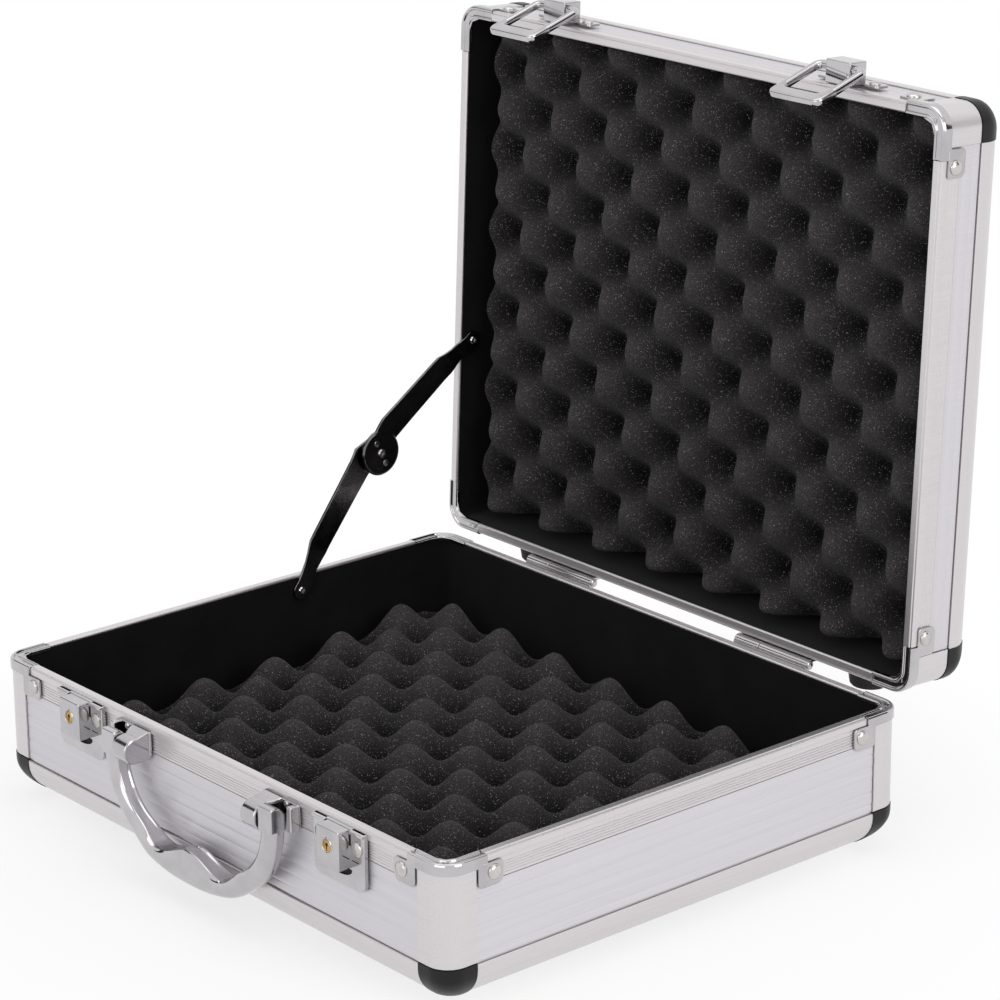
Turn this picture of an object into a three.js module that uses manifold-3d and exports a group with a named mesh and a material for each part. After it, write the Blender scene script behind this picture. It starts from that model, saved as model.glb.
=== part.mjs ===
// A small flight case with an aluminium frame, shown with its lid open.
// Millimetres, +Z up. X runs along the width and the handle side faces -Y.
// The origin is the middle of the underside.

import * as THREE from "three";
import { mergeVertices } from "three/addons/utils/BufferGeometryUtils.js";
import Module from "manifold-3d";

const wasm = await Module();
wasm.setup();

// Whole case
const caseWidth = 300;
const caseDepth = 248;
const baseHeight = 65;
const lidHeight = 45;
const openAngle = 92.7;

// Clearances
const fit = 0.3;
const seam = 0.6;
const overrun = 6;
const weld = 0.0002;

// Walls, from the outside inwards
const shellWall = 3.3;
const liningWall = 1.5;
const panelInset = 0.8;
const flangeInset = 0.5;
const postWall = 1.6;
const capWall = 1.8;

// Rounded outside
const cornerRadius = 10;
const edgeReach = 30;
const edgeRound = 18;
const postReach = 16;
const baseEdgeHeight = 20.7;
const lidEdgeHeight = 21.5;

// Rims and their chrome corners
const rimHeight = 12;
const rimLip = 1.2;
const beadHeight = 3.5;
const bandHeight = 6.5;
const cornerSheet = 1;
const cornerReach = 21;
const cornerGusset = 12;
const tabReach = 30;
const tabHeight = 16;
const tabRound = 3;

// Egg-crate foam
const foamPitchX = 36.8;
const foamPitchY = 38.4;
const foamWave = 8.5;
const baseFoamHeight = 26.2;
const lidFoamHeight = 27.5;
const foamLeftGap = 11.8;
const foamBackGap = 10;
const baseFoamPeak = { x: -20, y: -38 };
const lidFoamPeak = { x: 2.9, y: 17.7 };
const foamLift = 4.5;
const foamLiftFrom = { x: 20, y: -10 };

// Hinges
const hingeOffset = 2.6;
const hingeFromLeft = 59.6;
const hingeFromRight = 57.2;
const hingeLength = 44.4;
const knuckleShare = 1 / 3;
const knuckleRadius = 2.3;
const hingePinRadius = 1.2;
const leafThickness = 1.2;
const leafHeight = 20;

// Rubber feet and stop pegs on the back of the lid
const footFromSide = 42;
const footRadius = 10;
const footTipRadius = 8;
const footHeight = 11;
const footRise = 21;
const pegFromLeft = 118.2;
const pegFromRight = 44.8;
const pegRadius = 1.5;
const pegHeight = 2;
const pegRise = 6;

// Locks
const lockSpacingShare = 0.4;
const lockWidth = 32;
const lockDrop = 1.2;
const lockHeight = 25;
const lockRound = 4;
const lockThickness = 1.8;
const lockBoxWidth = 14;
const lockBoxHeight = 16.8;
const lockBoxDepth = 7.7;
const lockLipHeight = 1.6;
const lockLipDepth = 1.2;
const lockNotchWidth = 15.6;
const slotWidth = 14;
const slotHeight = 4.8;
const slotDepth = 1.2;
const keyRadius = 2.6;
const keyDrop = 7.6;
const keyLength = 7;
const keyProud = 0.4;
const keywayWidth = 0.8;
const keywayHeight = 3;
const keywayDepth = 1.6;

// Hasps
const haspOut = 7;
const haspUp = 4.2;
const haspWidth = 29.5;
const haspReach = 30.2;
const haspBarRadius = 1.7;
const haspEyeRadius = 2.9;
const haspTabHeight = 6.3;
const haspTabThickness = 4;
const haspTabRound = 2.6;
const haspPinRadius = 1.5;
const haspDroop = 20;
const tongueWidth = 6;
const tongueHeight = 2.2;
const tongueDepth = 1.2;
const tongueDrop = 0.7;
const haspBlockWidth = 14;
const haspBlockBottom = 1.6;
const haspBlockHeight = 10;
const haspBlockDepth = 10;
const haspPlateWidth = 34.5;
const haspPlateBottom = 7.2;
const haspPlateHeight = 7.8;
const haspPlateThickness = 1.2;

// Handle and its brackets
const handleHalfSpan = 53.8;
const handleDrop = 39.9;
const handleSquareness = 2.3;
const handleAxisOut = 8;
const handleAxisDrop = 9.6;
const legHalfWidth = 4.4;
const legHalfDepth = 4;
const gripHalfHeight = 6;
const gripHalfDepth = 5.4;
const gripHalfLength = 40;
const gripBlend = 16;
const fingerWave = 4;
const fingerPitch = 50;
const handleHeadRise = 6.6;
const handleHeadEdge = 0.8;
const handleNeckRise = 3;
const handlePinRadius = 2.5;
const bracketGap = 0.6;
const innerCheek = 9.2;
const outerCheek = 3.1;
const outerCheekReach = 5;
const cheekRadius = 5.6;
const bracketHeight = 11;
const bracketRise = 7;
const bracketPlate = 1.2;
const hoodReach = 6.5;

// Folding stay on the left wall
const stayArm = 73;
const stayFromHinge = 92.6;
const stayLowerDrop = 7.5;
const stayUpperRise = 6.9;
const stayThickness = 1.2;
const stayHalfWidth = 5.8;
const stayTipRadius = 4.4;
const stayElbowRadius = 7.5;
const stayDiscRadius = 10.6;
const stayDiscThickness = 1;
const stayRivetRadius = 2.5;
const stayCrankStart = 9;
const stayCrankEnd = 19;

// Fineness of round shapes
const cornerSteps = 5;
const roundSteps = 4;
const edgeSteps = 5;
const pinSides = 16;
const handleStations = 32;
const handleSides = 12;
const foamStepsPerPitch = 4;

// Places worked out from the sizes above
const wall = shellWall + liningWall;
const halfWidth = caseWidth / 2;
const halfDepth = caseDepth / 2;
const front = -halfDepth;
const back = halfDepth;
const lidRim = baseHeight + seam;
const lidTop = lidRim + lidHeight;
const hingeY = back + hingeOffset;
const hingeZ = baseHeight + seam / 2;
const hingeStarts = [-halfWidth + hingeFromLeft, halfWidth - hingeFromRight - hingeLength];
const footPlaces = [-halfWidth + footFromSide, halfWidth - footFromSide];
const pegPlaces = [-halfWidth + pegFromLeft, halfWidth - pegFromRight];
const bracketOut = legHalfWidth + bracketGap + outerCheek;
const lockStart = handleHalfSpan + bracketOut;
const lockRoom = halfWidth - tabReach - lockStart - lockWidth;
const lockPlace = lockStart + lockSpacingShare * lockRoom + lockWidth / 2;
const lockPlaces = [-lockPlace, lockPlace];
const lockTop = baseHeight - lockDrop;
const handleAxisHeight = baseHeight - handleAxisDrop;
const bracketTop = handleAxisHeight + bracketRise;
const stayY = hingeY - stayFromHinge;
const open = THREE.MathUtils.degToRad(openAngle);
const deg = THREE.MathUtils.degToRad;

const looks = {
  aluminium: { color: 0xc9c5c8, roughness: 0.38, metalness: 0.85 },
  ribbed: { color: 0xd6d3d9, roughness: 0.42, metalness: 0.7 },
  chrome: { color: 0xdededf, roughness: 0.12, metalness: 1 },
  steel: { color: 0x1a1a1c, roughness: 0.3, metalness: 0.6 },
  brass: { color: 0xb08a55, roughness: 0.35, metalness: 1 },
  plastic: { color: 0x1b1c1d, roughness: 0.45, metalness: 0 },
  rubber: { color: 0x161617, roughness: 0.8, metalness: 0 },
  lining: { color: 0x0f0f11, roughness: 0.95, metalness: 0 },
  foam: { color: 0x2b2b2d, roughness: 1, metalness: 0 },
};

// A closed three.js geometry as a solid, turned so that its faces point out.
function solid(geometry) {
  const bare = geometry.clone();
  bare.deleteAttribute("normal");
  bare.deleteAttribute("uv");
  const merged = mergeVertices(bare, weld);
  const index = merged.index.array;
  const triangles = [];
  for (let i = 0; i < index.length; i += 3) {
    const [a, b, c] = index.slice(i, i + 3);
    if (a !== b && b !== c && c !== a) triangles.push(a, b, c);
  }
  const vertProperties = merged.attributes.position.array;
  const make = (list) => new wasm.Manifold(
    new wasm.Mesh({ numProp: 3, vertProperties, triVerts: new Uint32Array(list) }),
  );
  const made = make(triangles);
  return made.volume() < 0 ? make(triangles.reverse()) : made;
}

function mesh(name, piece, look) {
  const data = piece.getMesh();
  const geometry = new THREE.BufferGeometry();
  geometry.setAttribute("position", new THREE.BufferAttribute(data.vertProperties, 3));
  geometry.setIndex(new THREE.BufferAttribute(data.triVerts, 1));
  geometry.computeVertexNormals();
  const made = new THREE.Mesh(geometry, new THREE.MeshStandardMaterial(looks[look]));
  made.name = name;
  return made;
}

function joined(...pieces) {
  return pieces.reduce((a, b) => a.add(b));
}

function box(x0, x1, y0, y1, z0, z1) {
  const geometry = new THREE.BoxGeometry(x1 - x0, y1 - y0, z1 - z0);
  geometry.translate((x0 + x1) / 2, (y0 + y1) / 2, (z0 + z1) / 2);
  return solid(geometry);
}

function rodAlongX(radius, x0, x1, y, z, sides = pinSides) {
  const geometry = new THREE.CylinderGeometry(radius, radius, x1 - x0, sides);
  geometry.rotateZ(Math.PI / 2);
  geometry.translate((x0 + x1) / 2, y, z);
  return solid(geometry);
}

function rodAlongY(radius, y0, y1, x, z, sides = pinSides) {
  const geometry = new THREE.CylinderGeometry(radius, radius, y1 - y0, sides);
  geometry.translate(x, (y0 + y1) / 2, z);
  return solid(geometry);
}

// An outline drawn in x and z, from yBack towards the front by its depth.
function plateFacingFront(shape, yBack, depth) {
  const geometry = new THREE.ExtrudeGeometry(shape, {
    depth,
    bevelEnabled: false,
    curveSegments: roundSteps,
  });
  geometry.rotateX(Math.PI / 2);
  geometry.translate(0, yBack, 0);
  return solid(geometry);
}

// An outline drawn in y and z, from x towards +X by its depth.
function plateFacingSide(shape, x, depth) {
  const geometry = new THREE.ExtrudeGeometry(shape, {
    depth,
    bevelEnabled: false,
    curveSegments: roundSteps,
  });
  const turn = new THREE.Matrix4().makeBasis(
    new THREE.Vector3(0, 1, 0),
    new THREE.Vector3(0, 0, 1),
    new THREE.Vector3(1, 0, 0),
  );
  geometry.applyMatrix4(turn);
  geometry.translate(x, 0, 0);
  return solid(geometry);
}

function polygon(points) {
  return new THREE.Shape(points.map(([u, v]) => new THREE.Vector2(u, v)));
}

// A rectangle with its lower corners rounded.
function tabShape(x0, x1, z0, z1, round) {
  const shape = new THREE.Shape();
  shape.moveTo(x0, z1);
  shape.lineTo(x0, z0 + round);
  shape.absarc(x0 + round, z0 + round, round, Math.PI, Math.PI * 1.5);
  shape.lineTo(x1 - round, z0);
  shape.absarc(x1 - round, z0 + round, round, -Math.PI / 2, 0);
  shape.lineTo(x1, z1);
  return shape;
}

// A skin over equal loops of points, with both ends closed.
function loft(loops) {
  const sides = loops[0].length;
  const points = loops.flat();
  const triangles = [];
  for (let i = 0; i + 1 < loops.length; i++) {
    for (let j = 0; j < sides; j++) {
      const a = i * sides + j;
      const b = i * sides + ((j + 1) % sides);
      triangles.push(a, b, b + sides, a, b + sides, a + sides);
    }
  }
  const last = (loops.length - 1) * sides;
  for (let j = 1; j + 1 < sides; j++) {
    triangles.push(0, j + 1, j, last, last + j, last + j + 1);
  }
  const geometry = new THREE.BufferGeometry();
  geometry.setAttribute("position", new THREE.Float32BufferAttribute(points.flat(), 3));
  geometry.setIndex(triangles);
  return solid(geometry);
}

// The rounded tub that the case's outside follows, drawn in by an inset all round.
// Its walls curve into the floor on a flat ellipse, and its corners tighten with them.
function tub(inset, top) {
  const plan = cornerRadius - inset;
  const level = (share, z) => {
    const radius = share * plan;
    const drawnIn = inset + radius + (1 - share) * (edgeReach - inset);
    const loop = [];
    for (let corner = 0; corner < 4; corner++) {
      const sx = corner === 0 || corner === 3 ? 1 : -1;
      const sy = corner < 2 ? 1 : -1;
      for (let i = 0; i <= cornerSteps; i++) {
        const angle = (corner + i / cornerSteps) * (Math.PI / 2);
        loop.push([
          sx * (halfWidth - drawnIn) + radius * Math.cos(angle),
          sy * (halfDepth - drawnIn) + radius * Math.sin(angle),
          z,
        ]);
      }
    }
    return loop;
  };
  const loops = [];
  for (let i = 0; i <= edgeSteps; i++) {
    const angle = (i / edgeSteps) * (Math.PI / 2);
    loops.push(level(Math.sin(angle), edgeRound - (edgeRound - inset) * Math.cos(angle)));
  }
  loops.push(level(1, top));
  return loft(loops);
}

function slab(z0, z1) {
  return box(
    -halfWidth - overrun, halfWidth + overrun, -halfDepth - overrun, halfDepth + overrun, z0, z1,
  );
}

// The wall between two insets, from one height to another.
function layer(outer, inner, z0, z1) {
  return tub(outer, z1 + overrun).subtract(tub(inner, z1 + 2 * overrun)).intersect(slab(z0, z1));
}

// The block at one corner that reaches in from both outer faces.
function cornerBlock(sx, sy, reach, z0, z1) {
  const x = [sx * (halfWidth - reach), sx * (halfWidth + overrun)].sort((a, b) => a - b);
  const y = [sy * (halfDepth - reach), sy * (halfDepth + overrun)].sort((a, b) => a - b);
  return box(x[0], x[1], y[0], y[1], z0, z1);
}

const corners = [
  { sx: -1, sy: -1 },
  { sx: 1, sy: -1 },
  { sx: -1, sy: 1 },
  { sx: 1, sy: 1 },
];

function atCorner(piece, { sx, sy }) {
  const across = sx < 0 ? piece.mirror([1, 0, 0]) : piece;
  return sy < 0 ? across.mirror([0, 1, 0]) : across;
}

function withoutCorners(piece, reach, outer, inner, z0, z1) {
  const skin = layer(outer, inner, z0, z1);
  return corners.reduce(
    (left, { sx, sy }) => left.subtract(skin.intersect(cornerBlock(sx, sy, reach, z0, z1))),
    piece,
  );
}

function floorPanel() {
  const x = halfWidth - edgeReach - fit;
  const y = halfDepth - edgeReach - fit;
  return box(-x, x, -y, y, 0, shellWall);
}

// The quarter-round frame round the floor, thinned where the corner caps sit.
function edgeFrame(edgeHeight) {
  const x = halfWidth - edgeReach;
  const y = halfDepth - edgeReach;
  const ring = layer(0, shellWall, -overrun, edgeHeight)
    .subtract(box(-x, x, -y, y, -overrun, shellWall + overrun));
  return withoutCorners(
    ring, postReach + fit, -overrun, capWall + fit, -overrun, edgeHeight + overrun,
  );
}

// The cap and the post of the corner at +X, +Y. The other corners mirror them.
function cornerCap(edgeHeight) {
  return layer(0, capWall, -overrun, edgeHeight)
    .intersect(cornerBlock(1, 1, postReach, -overrun, edgeHeight));
}

function cornerPost(edgeHeight, height) {
  const z0 = edgeHeight + fit;
  const z1 = height - bandHeight - fit;
  return layer(0, postWall, z0, z1).intersect(cornerBlock(1, 1, postReach, z0, z1));
}

function sidePanel(along, side, edgeHeight, height) {
  const z0 = edgeHeight + fit;
  const z1 = height - rimHeight - fit;
  const reach = postReach + fit;
  const out = [side * panelInset, side * shellWall];
  if (along === "x") {
    const y = out.map((inset) => side * halfDepth - inset).sort((a, b) => a - b);
    return box(-halfWidth + reach, halfWidth - reach, y[0], y[1], z0, z1);
  }
  const x = out.map((inset) => side * halfWidth - inset).sort((a, b) => a - b);
  return box(x[0], x[1], -halfDepth + reach, halfDepth - reach, z0, z1);
}

function sideBand(edgeHeight, height) {
  const z0 = edgeHeight + fit;
  const z1 = height - rimHeight - fit;
  const ring = layer(panelInset, shellWall, z0, z1);
  return withoutCorners(ring, postReach + fit, -overrun, postWall + fit, z0 - fit, z1 + fit);
}

// The rim: a bead over a flange, with a lip that covers the lining.
function rim(height) {
  const flange = layer(flangeInset, shellWall, height - rimHeight, height);
  const bead = layer(0, shellWall, height - beadHeight, height);
  const lip = layer(0, wall, height - rimLip, height);
  let ring = joined(flange, bead, lip);
  for (const { sx, sy } of corners) {
    const low = height - rimHeight - overrun;
    ring = ring
      .subtract(cornerBlock(sx, sy, postReach + fit, low, height - bandHeight))
      .subtract(cornerBlock(
        sx, sy, cornerReach + fit, height - rimLip - fit, height + overrun,
      ));
  }
  return withoutCorners(
    ring, cornerReach + fit, -overrun, flangeInset, height - rimHeight, height + overrun,
  );
}

// The lid's rim has two pegs at the back that meet the base's rim when the lid is open.
function lidRimWithPegs() {
  const pegs = pegPlaces.map((x) => rodAlongY(
    pegRadius, -back - pegHeight, -back + shellWall / 2, x, lidHeight - pegRise,
  ));
  return joined(rim(lidHeight), ...pegs);
}

// The chrome corner over the rim at +X, +Y: a band, a top plate with a gusset, two riveted tabs.
function rimCorner(height) {
  const outer = flangeInset - fit - cornerSheet;
  const skin = layer(outer, flangeInset - fit, height - tabHeight, height);
  const band = cornerBlock(1, 1, cornerReach, height - bandHeight, height);
  const outline = tabShape(
    -tabReach, -postReach - fit, height - tabHeight, height - beadHeight - fit, tabRound,
  );
  const onBack = plateFacingFront(outline, overrun, 2 * overrun).translate([halfWidth, halfDepth, 0]);
  const onRight = plateFacingSide(outline, -overrun, 2 * overrun).translate([halfWidth, halfDepth, 0]);
  const inward = (u, v) => [halfWidth - u, halfDepth - v];
  const top = new THREE.ExtrudeGeometry(
    polygon([
      inward(-overrun, -overrun),
      inward(cornerReach, -overrun),
      inward(cornerReach, wall),
      inward(wall + cornerGusset, wall),
      inward(wall, wall + cornerGusset),
      inward(wall, cornerReach),
      inward(-overrun, cornerReach),
    ]),
    { depth: cornerSheet, bevelEnabled: false },
  );
  top.translate(0, 0, height - cornerSheet);
  const plate = solid(top).intersect(tub(outer, height + overrun));
  return joined(skin.intersect(joined(band, onBack, onRight)), plate);
}

function liningTub(height) {
  return tub(shellWall + fit, height - rimLip - fit).subtract(tub(wall, height + overrun));
}

// One pad of egg-crate foam, cut to the tub. The peaks and hollows lie on a slanted grid.
function foamPad({ x0, x1, y0, y1, thickness, peak, lift, height }) {
  const floor = wall + fit;
  const lines = (low, high, pitch, phase) => {
    const step = pitch / foamStepsPerPitch;
    const list = [low];
    for (let k = Math.ceil((low - phase) / step); phase + k * step < high; k++) {
      const at = phase + k * step;
      if (at - low > step / 4 && high - at > step / 4) list.push(at);
    }
    return [...list, high];
  };
  const xs = lines(x0, x1, foamPitchX, peak.x);
  const ys = lines(y0, y1, foamPitchY, peak.y);
  const turn = 2 * Math.PI;
  const heightAt = (x, y) => {
    const wave = Math.cos((turn * (x - peak.x)) / foamPitchX)
      * Math.cos((turn * (y - peak.y)) / foamPitchY);
    const rise = lift
      * THREE.MathUtils.smoothstep(-x, -foamLiftFrom.x, -x0)
      * THREE.MathUtils.smoothstep(y, foamLiftFrom.y, y1);
    return floor + thickness + foamWave * wave + rise;
  };
  const points = [];
  for (const z of ["top", "bottom"]) {
    for (const y of ys) {
      for (const x of xs) points.push([x, y, z === "top" ? heightAt(x, y) : floor]);
    }
  }
  const row = xs.length;
  const sheet = row * ys.length;
  const triangles = [];
  const rim = [];
  for (let j = 0; j + 1 < ys.length; j++) {
    for (let i = 0; i + 1 < row; i++) {
      const a = j * row + i;
      triangles.push(a, a + 1, a + row + 1, a, a + row + 1, a + row);
    }
  }
  for (let i = 0; i < row; i++) rim.push(i);
  for (let j = 1; j < ys.length; j++) rim.push(j * row + row - 1);
  for (let i = row - 2; i >= 0; i--) rim.push((ys.length - 1) * row + i);
  for (let j = ys.length - 2; j > 0; j--) rim.push(j * row);
  const middle = points.length;
  points.push([(x0 + x1) / 2, (y0 + y1) / 2, floor]);
  rim.forEach((a, i) => {
    const b = rim[(i + 1) % rim.length];
    triangles.push(a, a + sheet, b + sheet, a, b + sheet, b);
    triangles.push(b + sheet, a + sheet, middle);
  });
  const used = new THREE.BufferGeometry();
  used.setAttribute("position", new THREE.Float32BufferAttribute(points.flat(), 3));
  used.setIndex(triangles);
  return solid(used).intersect(tub(wall + fit, height + overrun));
}

// The pieces of one half of the shell, drawn floor down with its front towards frontSide.
function shellHalf(name, height, edgeHeight, frontSide, rimPiece) {
  const half = new THREE.Group();
  const cornerName = ({ sx, sy }) => (sy === frontSide ? "front" : "back") + (sx < 0 ? "_left" : "_right");
  half.add(mesh(name + "_edge_frame", edgeFrame(edgeHeight), "aluminium"));
  half.add(mesh(name + "_rim", rimPiece, "aluminium"));
  half.add(mesh(name + "_lining", liningTub(height), "lining"));
  const kinds = [
    ["_corner_post_", cornerPost(edgeHeight, height), "aluminium"],
    ["_corner_cap_", cornerCap(edgeHeight), "plastic"],
    ["_rim_corner_", rimCorner(height), "chrome"],
  ];
  for (const corner of corners) {
    for (const [kind, piece, look] of kinds) {
      half.add(mesh(name + kind + cornerName(corner), atCorner(piece, corner), look));
    }
  }
  return half;
}

function baseShell() {
  const half = shellHalf("base", baseHeight, baseEdgeHeight, -1, rim(baseHeight));
  half.add(mesh("base_bottom_panel", floorPanel(), "ribbed"));
  const sides = [
    ["base_front_panel", "x", -1],
    ["base_back_panel", "x", 1],
    ["base_left_panel", "y", -1],
    ["base_right_panel", "y", 1],
  ];
  for (const [name, along, side] of sides) {
    half.add(mesh(name, sidePanel(along, side, baseEdgeHeight, baseHeight), "ribbed"));
  }
  const reach = wall + fit;
  const pad = foamPad({
    x0: -halfWidth + foamLeftGap,
    x1: halfWidth - reach,
    y0: front + reach,
    y1: back - foamBackGap,
    thickness: baseFoamHeight,
    peak: baseFoamPeak,
    lift: foamLift,
    height: baseHeight,
  });
  half.add(mesh("base_foam", pad, "foam"));
  return half;
}

// The lid is drawn floor down too, so its front is at +Y until it is turned over.
function lidShell() {
  const half = shellHalf("lid", lidHeight, lidEdgeHeight, 1, lidRimWithPegs());
  half.add(mesh("lid_top_panel", floorPanel(), "ribbed"));
  half.add(mesh("lid_side_band", sideBand(lidEdgeHeight, lidHeight), "ribbed"));
  const reach = wall + fit;
  const pad = foamPad({
    x0: -halfWidth + foamLeftGap,
    x1: halfWidth - reach,
    y0: -back + foamBackGap,
    y1: -front - reach,
    thickness: lidFoamHeight,
    peak: { x: lidFoamPeak.x, y: -lidFoamPeak.y },
    lift: 0,
    height: lidHeight,
  });
  half.add(mesh("lid_foam", pad, "foam"));
  half.rotation.x = Math.PI;
  half.position.z = lidTop;
  return half;
}

function lockBody() {
  const outline = tabShape(-lockWidth / 2, lockWidth / 2, lockTop - lockHeight, lockTop, lockRound);
  const plate = plateFacingFront(outline, front, lockThickness);
  const lipY = front - lockThickness - lockLipDepth;
  const lips = [-1, 1].map((side) => {
    const x = [side * lockNotchWidth / 2, side * lockWidth / 2].sort((a, b) => a - b);
    return box(x[0], x[1], lipY, front, lockTop - lockLipHeight, lockTop);
  });
  const half = lockBoxWidth / 2;
  const boxBottom = lockTop - lockBoxHeight;
  const block = box(-half, half, front - lockBoxDepth, front, boxBottom, lockTop - fit);
  const slotTop = boxBottom - fit;
  const slot = tabShape(-slotWidth / 2, slotWidth / 2, slotTop - slotHeight, slotTop, slotHeight / 2);
  const slotCut = plateFacingFront(slot, front - lockThickness + slotDepth, slotDepth + overrun);
  const keyZ = lockTop - keyDrop;
  const bore = rodAlongY(
    keyRadius + fit, front - lockBoxDepth - overrun, front - lockBoxDepth + keyLength + fit, 0, keyZ,
  );
  return joined(plate, lips[0], lips[1], block).subtract(slotCut).subtract(bore);
}

// The brass cylinder that the key turns, about its own middle.
function lockCylinder() {
  const barrel = rodAlongY(keyRadius, -keyProud, keyLength - keyProud, 0, 0);
  const slit = box(
    -keywayWidth / 2, keywayWidth / 2, -keyProud - overrun, -keyProud + keywayDepth,
    -keywayHeight / 2, keywayHeight / 2,
  );
  return barrel.subtract(slit);
}

// The chrome bracket at the right end of the handle, about the middle of the handle's leg. A thick
// cheek on the inner side carries the pin, and a short one shields the outer side.
function handleBracket() {
  const bottom = bracketTop - bracketHeight;
  const axisY = front - handleAxisOut;
  const legRoom = legHalfWidth + bracketGap;
  const inner = -legRoom - innerCheek;
  const plate = box(inner, bracketOut, front - bracketPlate, front, bottom, bracketTop);
  const flange = box(legRoom, bracketOut, front - outerCheekReach, front, bottom, bracketTop);
  const cheek = new THREE.Shape();
  cheek.moveTo(front, bracketTop);
  cheek.lineTo(front, handleAxisHeight - cheekRadius);
  cheek.lineTo(axisY, handleAxisHeight - cheekRadius);
  cheek.absarc(axisY, handleAxisHeight, cheekRadius, -Math.PI / 2, Math.PI / 2, true);
  cheek.lineTo(front - hoodReach, handleAxisHeight + cheekRadius);
  cheek.lineTo(front - bracketPlate, bracketTop);
  const pin = rodAlongX(handlePinRadius, inner, legHalfWidth, axisY, handleAxisHeight);
  return joined(plate, flange, plateFacingSide(cheek, inner, innerCheek), pin);
}

// The cast handle about its pivot axis, hanging towards -Z.
function handleBody() {
  const power = 2 / handleSquareness;
  const bend = (value) => Math.sign(value) * Math.abs(value) ** power;
  const centre = (angle) => [
    handleHalfSpan * bend(Math.cos(angle)),
    -handleDrop * Math.sin(angle) ** power,
  ];
  const small = Math.PI / handleStations / 8;
  const loops = [];
  for (let i = 0; i <= handleStations; i++) {
    const angle = Math.min(Math.max((Math.PI * i) / handleStations, small), Math.PI - small);
    const [x, z] = centre(angle);
    const [xa, za] = centre(angle - small);
    const [xb, zb] = centre(angle + small);
    const length = Math.hypot(xb - xa, zb - za);
    const inward = [-(zb - za) / length, (xb - xa) / length];
    const side = inward[0] * -x + inward[1] * -z < 0 ? -1 : 1;
    const grip = 1 - THREE.MathUtils.smoothstep(
      Math.abs(x), gripHalfLength - gripBlend, gripHalfLength,
    );
    const halfHeight = THREE.MathUtils.lerp(legHalfWidth, gripHalfHeight, grip);
    const halfThick = THREE.MathUtils.lerp(legHalfDepth, gripHalfDepth, grip);
    const wave = grip * fingerWave * Math.cos((2 * Math.PI * x) / fingerPitch);
    const loop = [];
    for (let j = 0; j < handleSides; j++) {
      const around = (2 * Math.PI * j) / handleSides;
      const across = bend(Math.cos(around));
      const reach = side * (halfHeight * across + Math.max(across, 0) * wave);
      loop.push([
        x + inward[0] * reach,
        halfThick * bend(Math.sin(around)),
        z + inward[1] * reach,
      ]);
    }
    loops.push(loop);
  }
  let body = loft(loops);
  const head = polygon([
    [-legHalfDepth, -handleNeckRise],
    [legHalfDepth, -handleNeckRise],
    [legHalfDepth, handleNeckRise],
    [0, handleHeadRise],
    [handleHeadEdge - legHalfDepth, handleHeadRise],
    [-legHalfDepth, handleHeadRise - handleHeadEdge],
  ]);
  for (const side of [-1, 1]) {
    const x = side * handleHalfSpan;
    const reach = legHalfWidth + overrun;
    body = body
      .subtract(box(x - reach, x + reach, -overrun, overrun, 0, handleHeadRise + overrun))
      .add(plateFacingSide(head, x - legHalfWidth, 2 * legHalfWidth))
      .subtract(rodAlongX(handlePinRadius + fit, x - reach, x + reach, 0, 0));
  }
  return body;
}

// The riveted plate on the front of the lid with the block that the hasp's pin runs in.
function haspPlate() {
  const face = front - fit;
  const half = haspPlateWidth / 2;
  const plateBottom = lidRim + haspPlateBottom;
  const plate = box(
    -half, half, face - haspPlateThickness, face, plateBottom, plateBottom + haspPlateHeight,
  );
  const blockBottom = lidRim + haspBlockBottom;
  const block = box(
    -haspBlockWidth / 2, haspBlockWidth / 2, face - haspBlockDepth, face,
    blockBottom, blockBottom + haspBlockHeight,
  );
  const bore = rodAlongX(
    haspPinRadius + fit, -haspBlockWidth, haspBlockWidth, front - haspOut, lidRim + haspUp,
  );
  return joined(plate, block).subtract(bore);
}

function haspPin() {
  return rodAlongX(haspPinRadius, -haspWidth / 2, haspWidth / 2, 0, 0);
}

// The wire hasp about its pin, hanging towards -Z.
function hasp() {
  const arm = haspWidth / 2 - haspBarRadius;
  const tabTop = -haspReach + haspTabHeight;
  const pieces = [-1, 1].map((side) => {
    const bar = new THREE.CylinderGeometry(haspBarRadius, haspBarRadius, -tabTop + haspTabRound, pinSides);
    bar.rotateX(Math.PI / 2);
    bar.translate(side * arm, 0, (tabTop - haspTabRound) / 2);
    const eye = rodAlongX(
      haspEyeRadius, side * arm - haspBarRadius, side * arm + haspBarRadius, 0, 0,
    );
    return solid(bar).add(eye);
  });
  const outline = tabShape(-haspWidth / 2, haspWidth / 2, -haspReach, tabTop, haspTabRound);
  const tab = plateFacingFront(outline, haspTabThickness / 2, haspTabThickness);
  const tongue = box(
    -tongueWidth / 2, tongueWidth / 2, 0, haspTabThickness / 2 + tongueDepth,
    tabTop - tongueDrop - tongueHeight, tabTop - tongueDrop,
  );
  const bore = rodAlongX(haspPinRadius + fit, -haspWidth, haspWidth, 0, 0);
  return joined(pieces[0], pieces[1], tab, tongue).subtract(bore);
}

// One leaf of a hinge, drawn for the base with the axis at y = 0, z = 0.
function hingeLeaf(ownStart, ownEnd, face, gap) {
  const leaf = box(0, hingeLength, face, face + leafThickness, -leafHeight, -gap);
  const strap = box(ownStart, ownEnd, face, face + leafThickness, -leafHeight, 0);
  const cutStart = ownStart > 0 ? -overrun : ownEnd - fit;
  const cutEnd = ownStart > 0 ? ownStart + fit : hingeLength + overrun;
  const swing = rodAlongX(knuckleRadius + fit, cutStart, cutEnd, 0, 0);
  const knuckle = rodAlongX(knuckleRadius, ownStart, ownEnd, 0, 0);
  return joined(leaf, strap).subtract(swing).add(knuckle);
}

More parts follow.
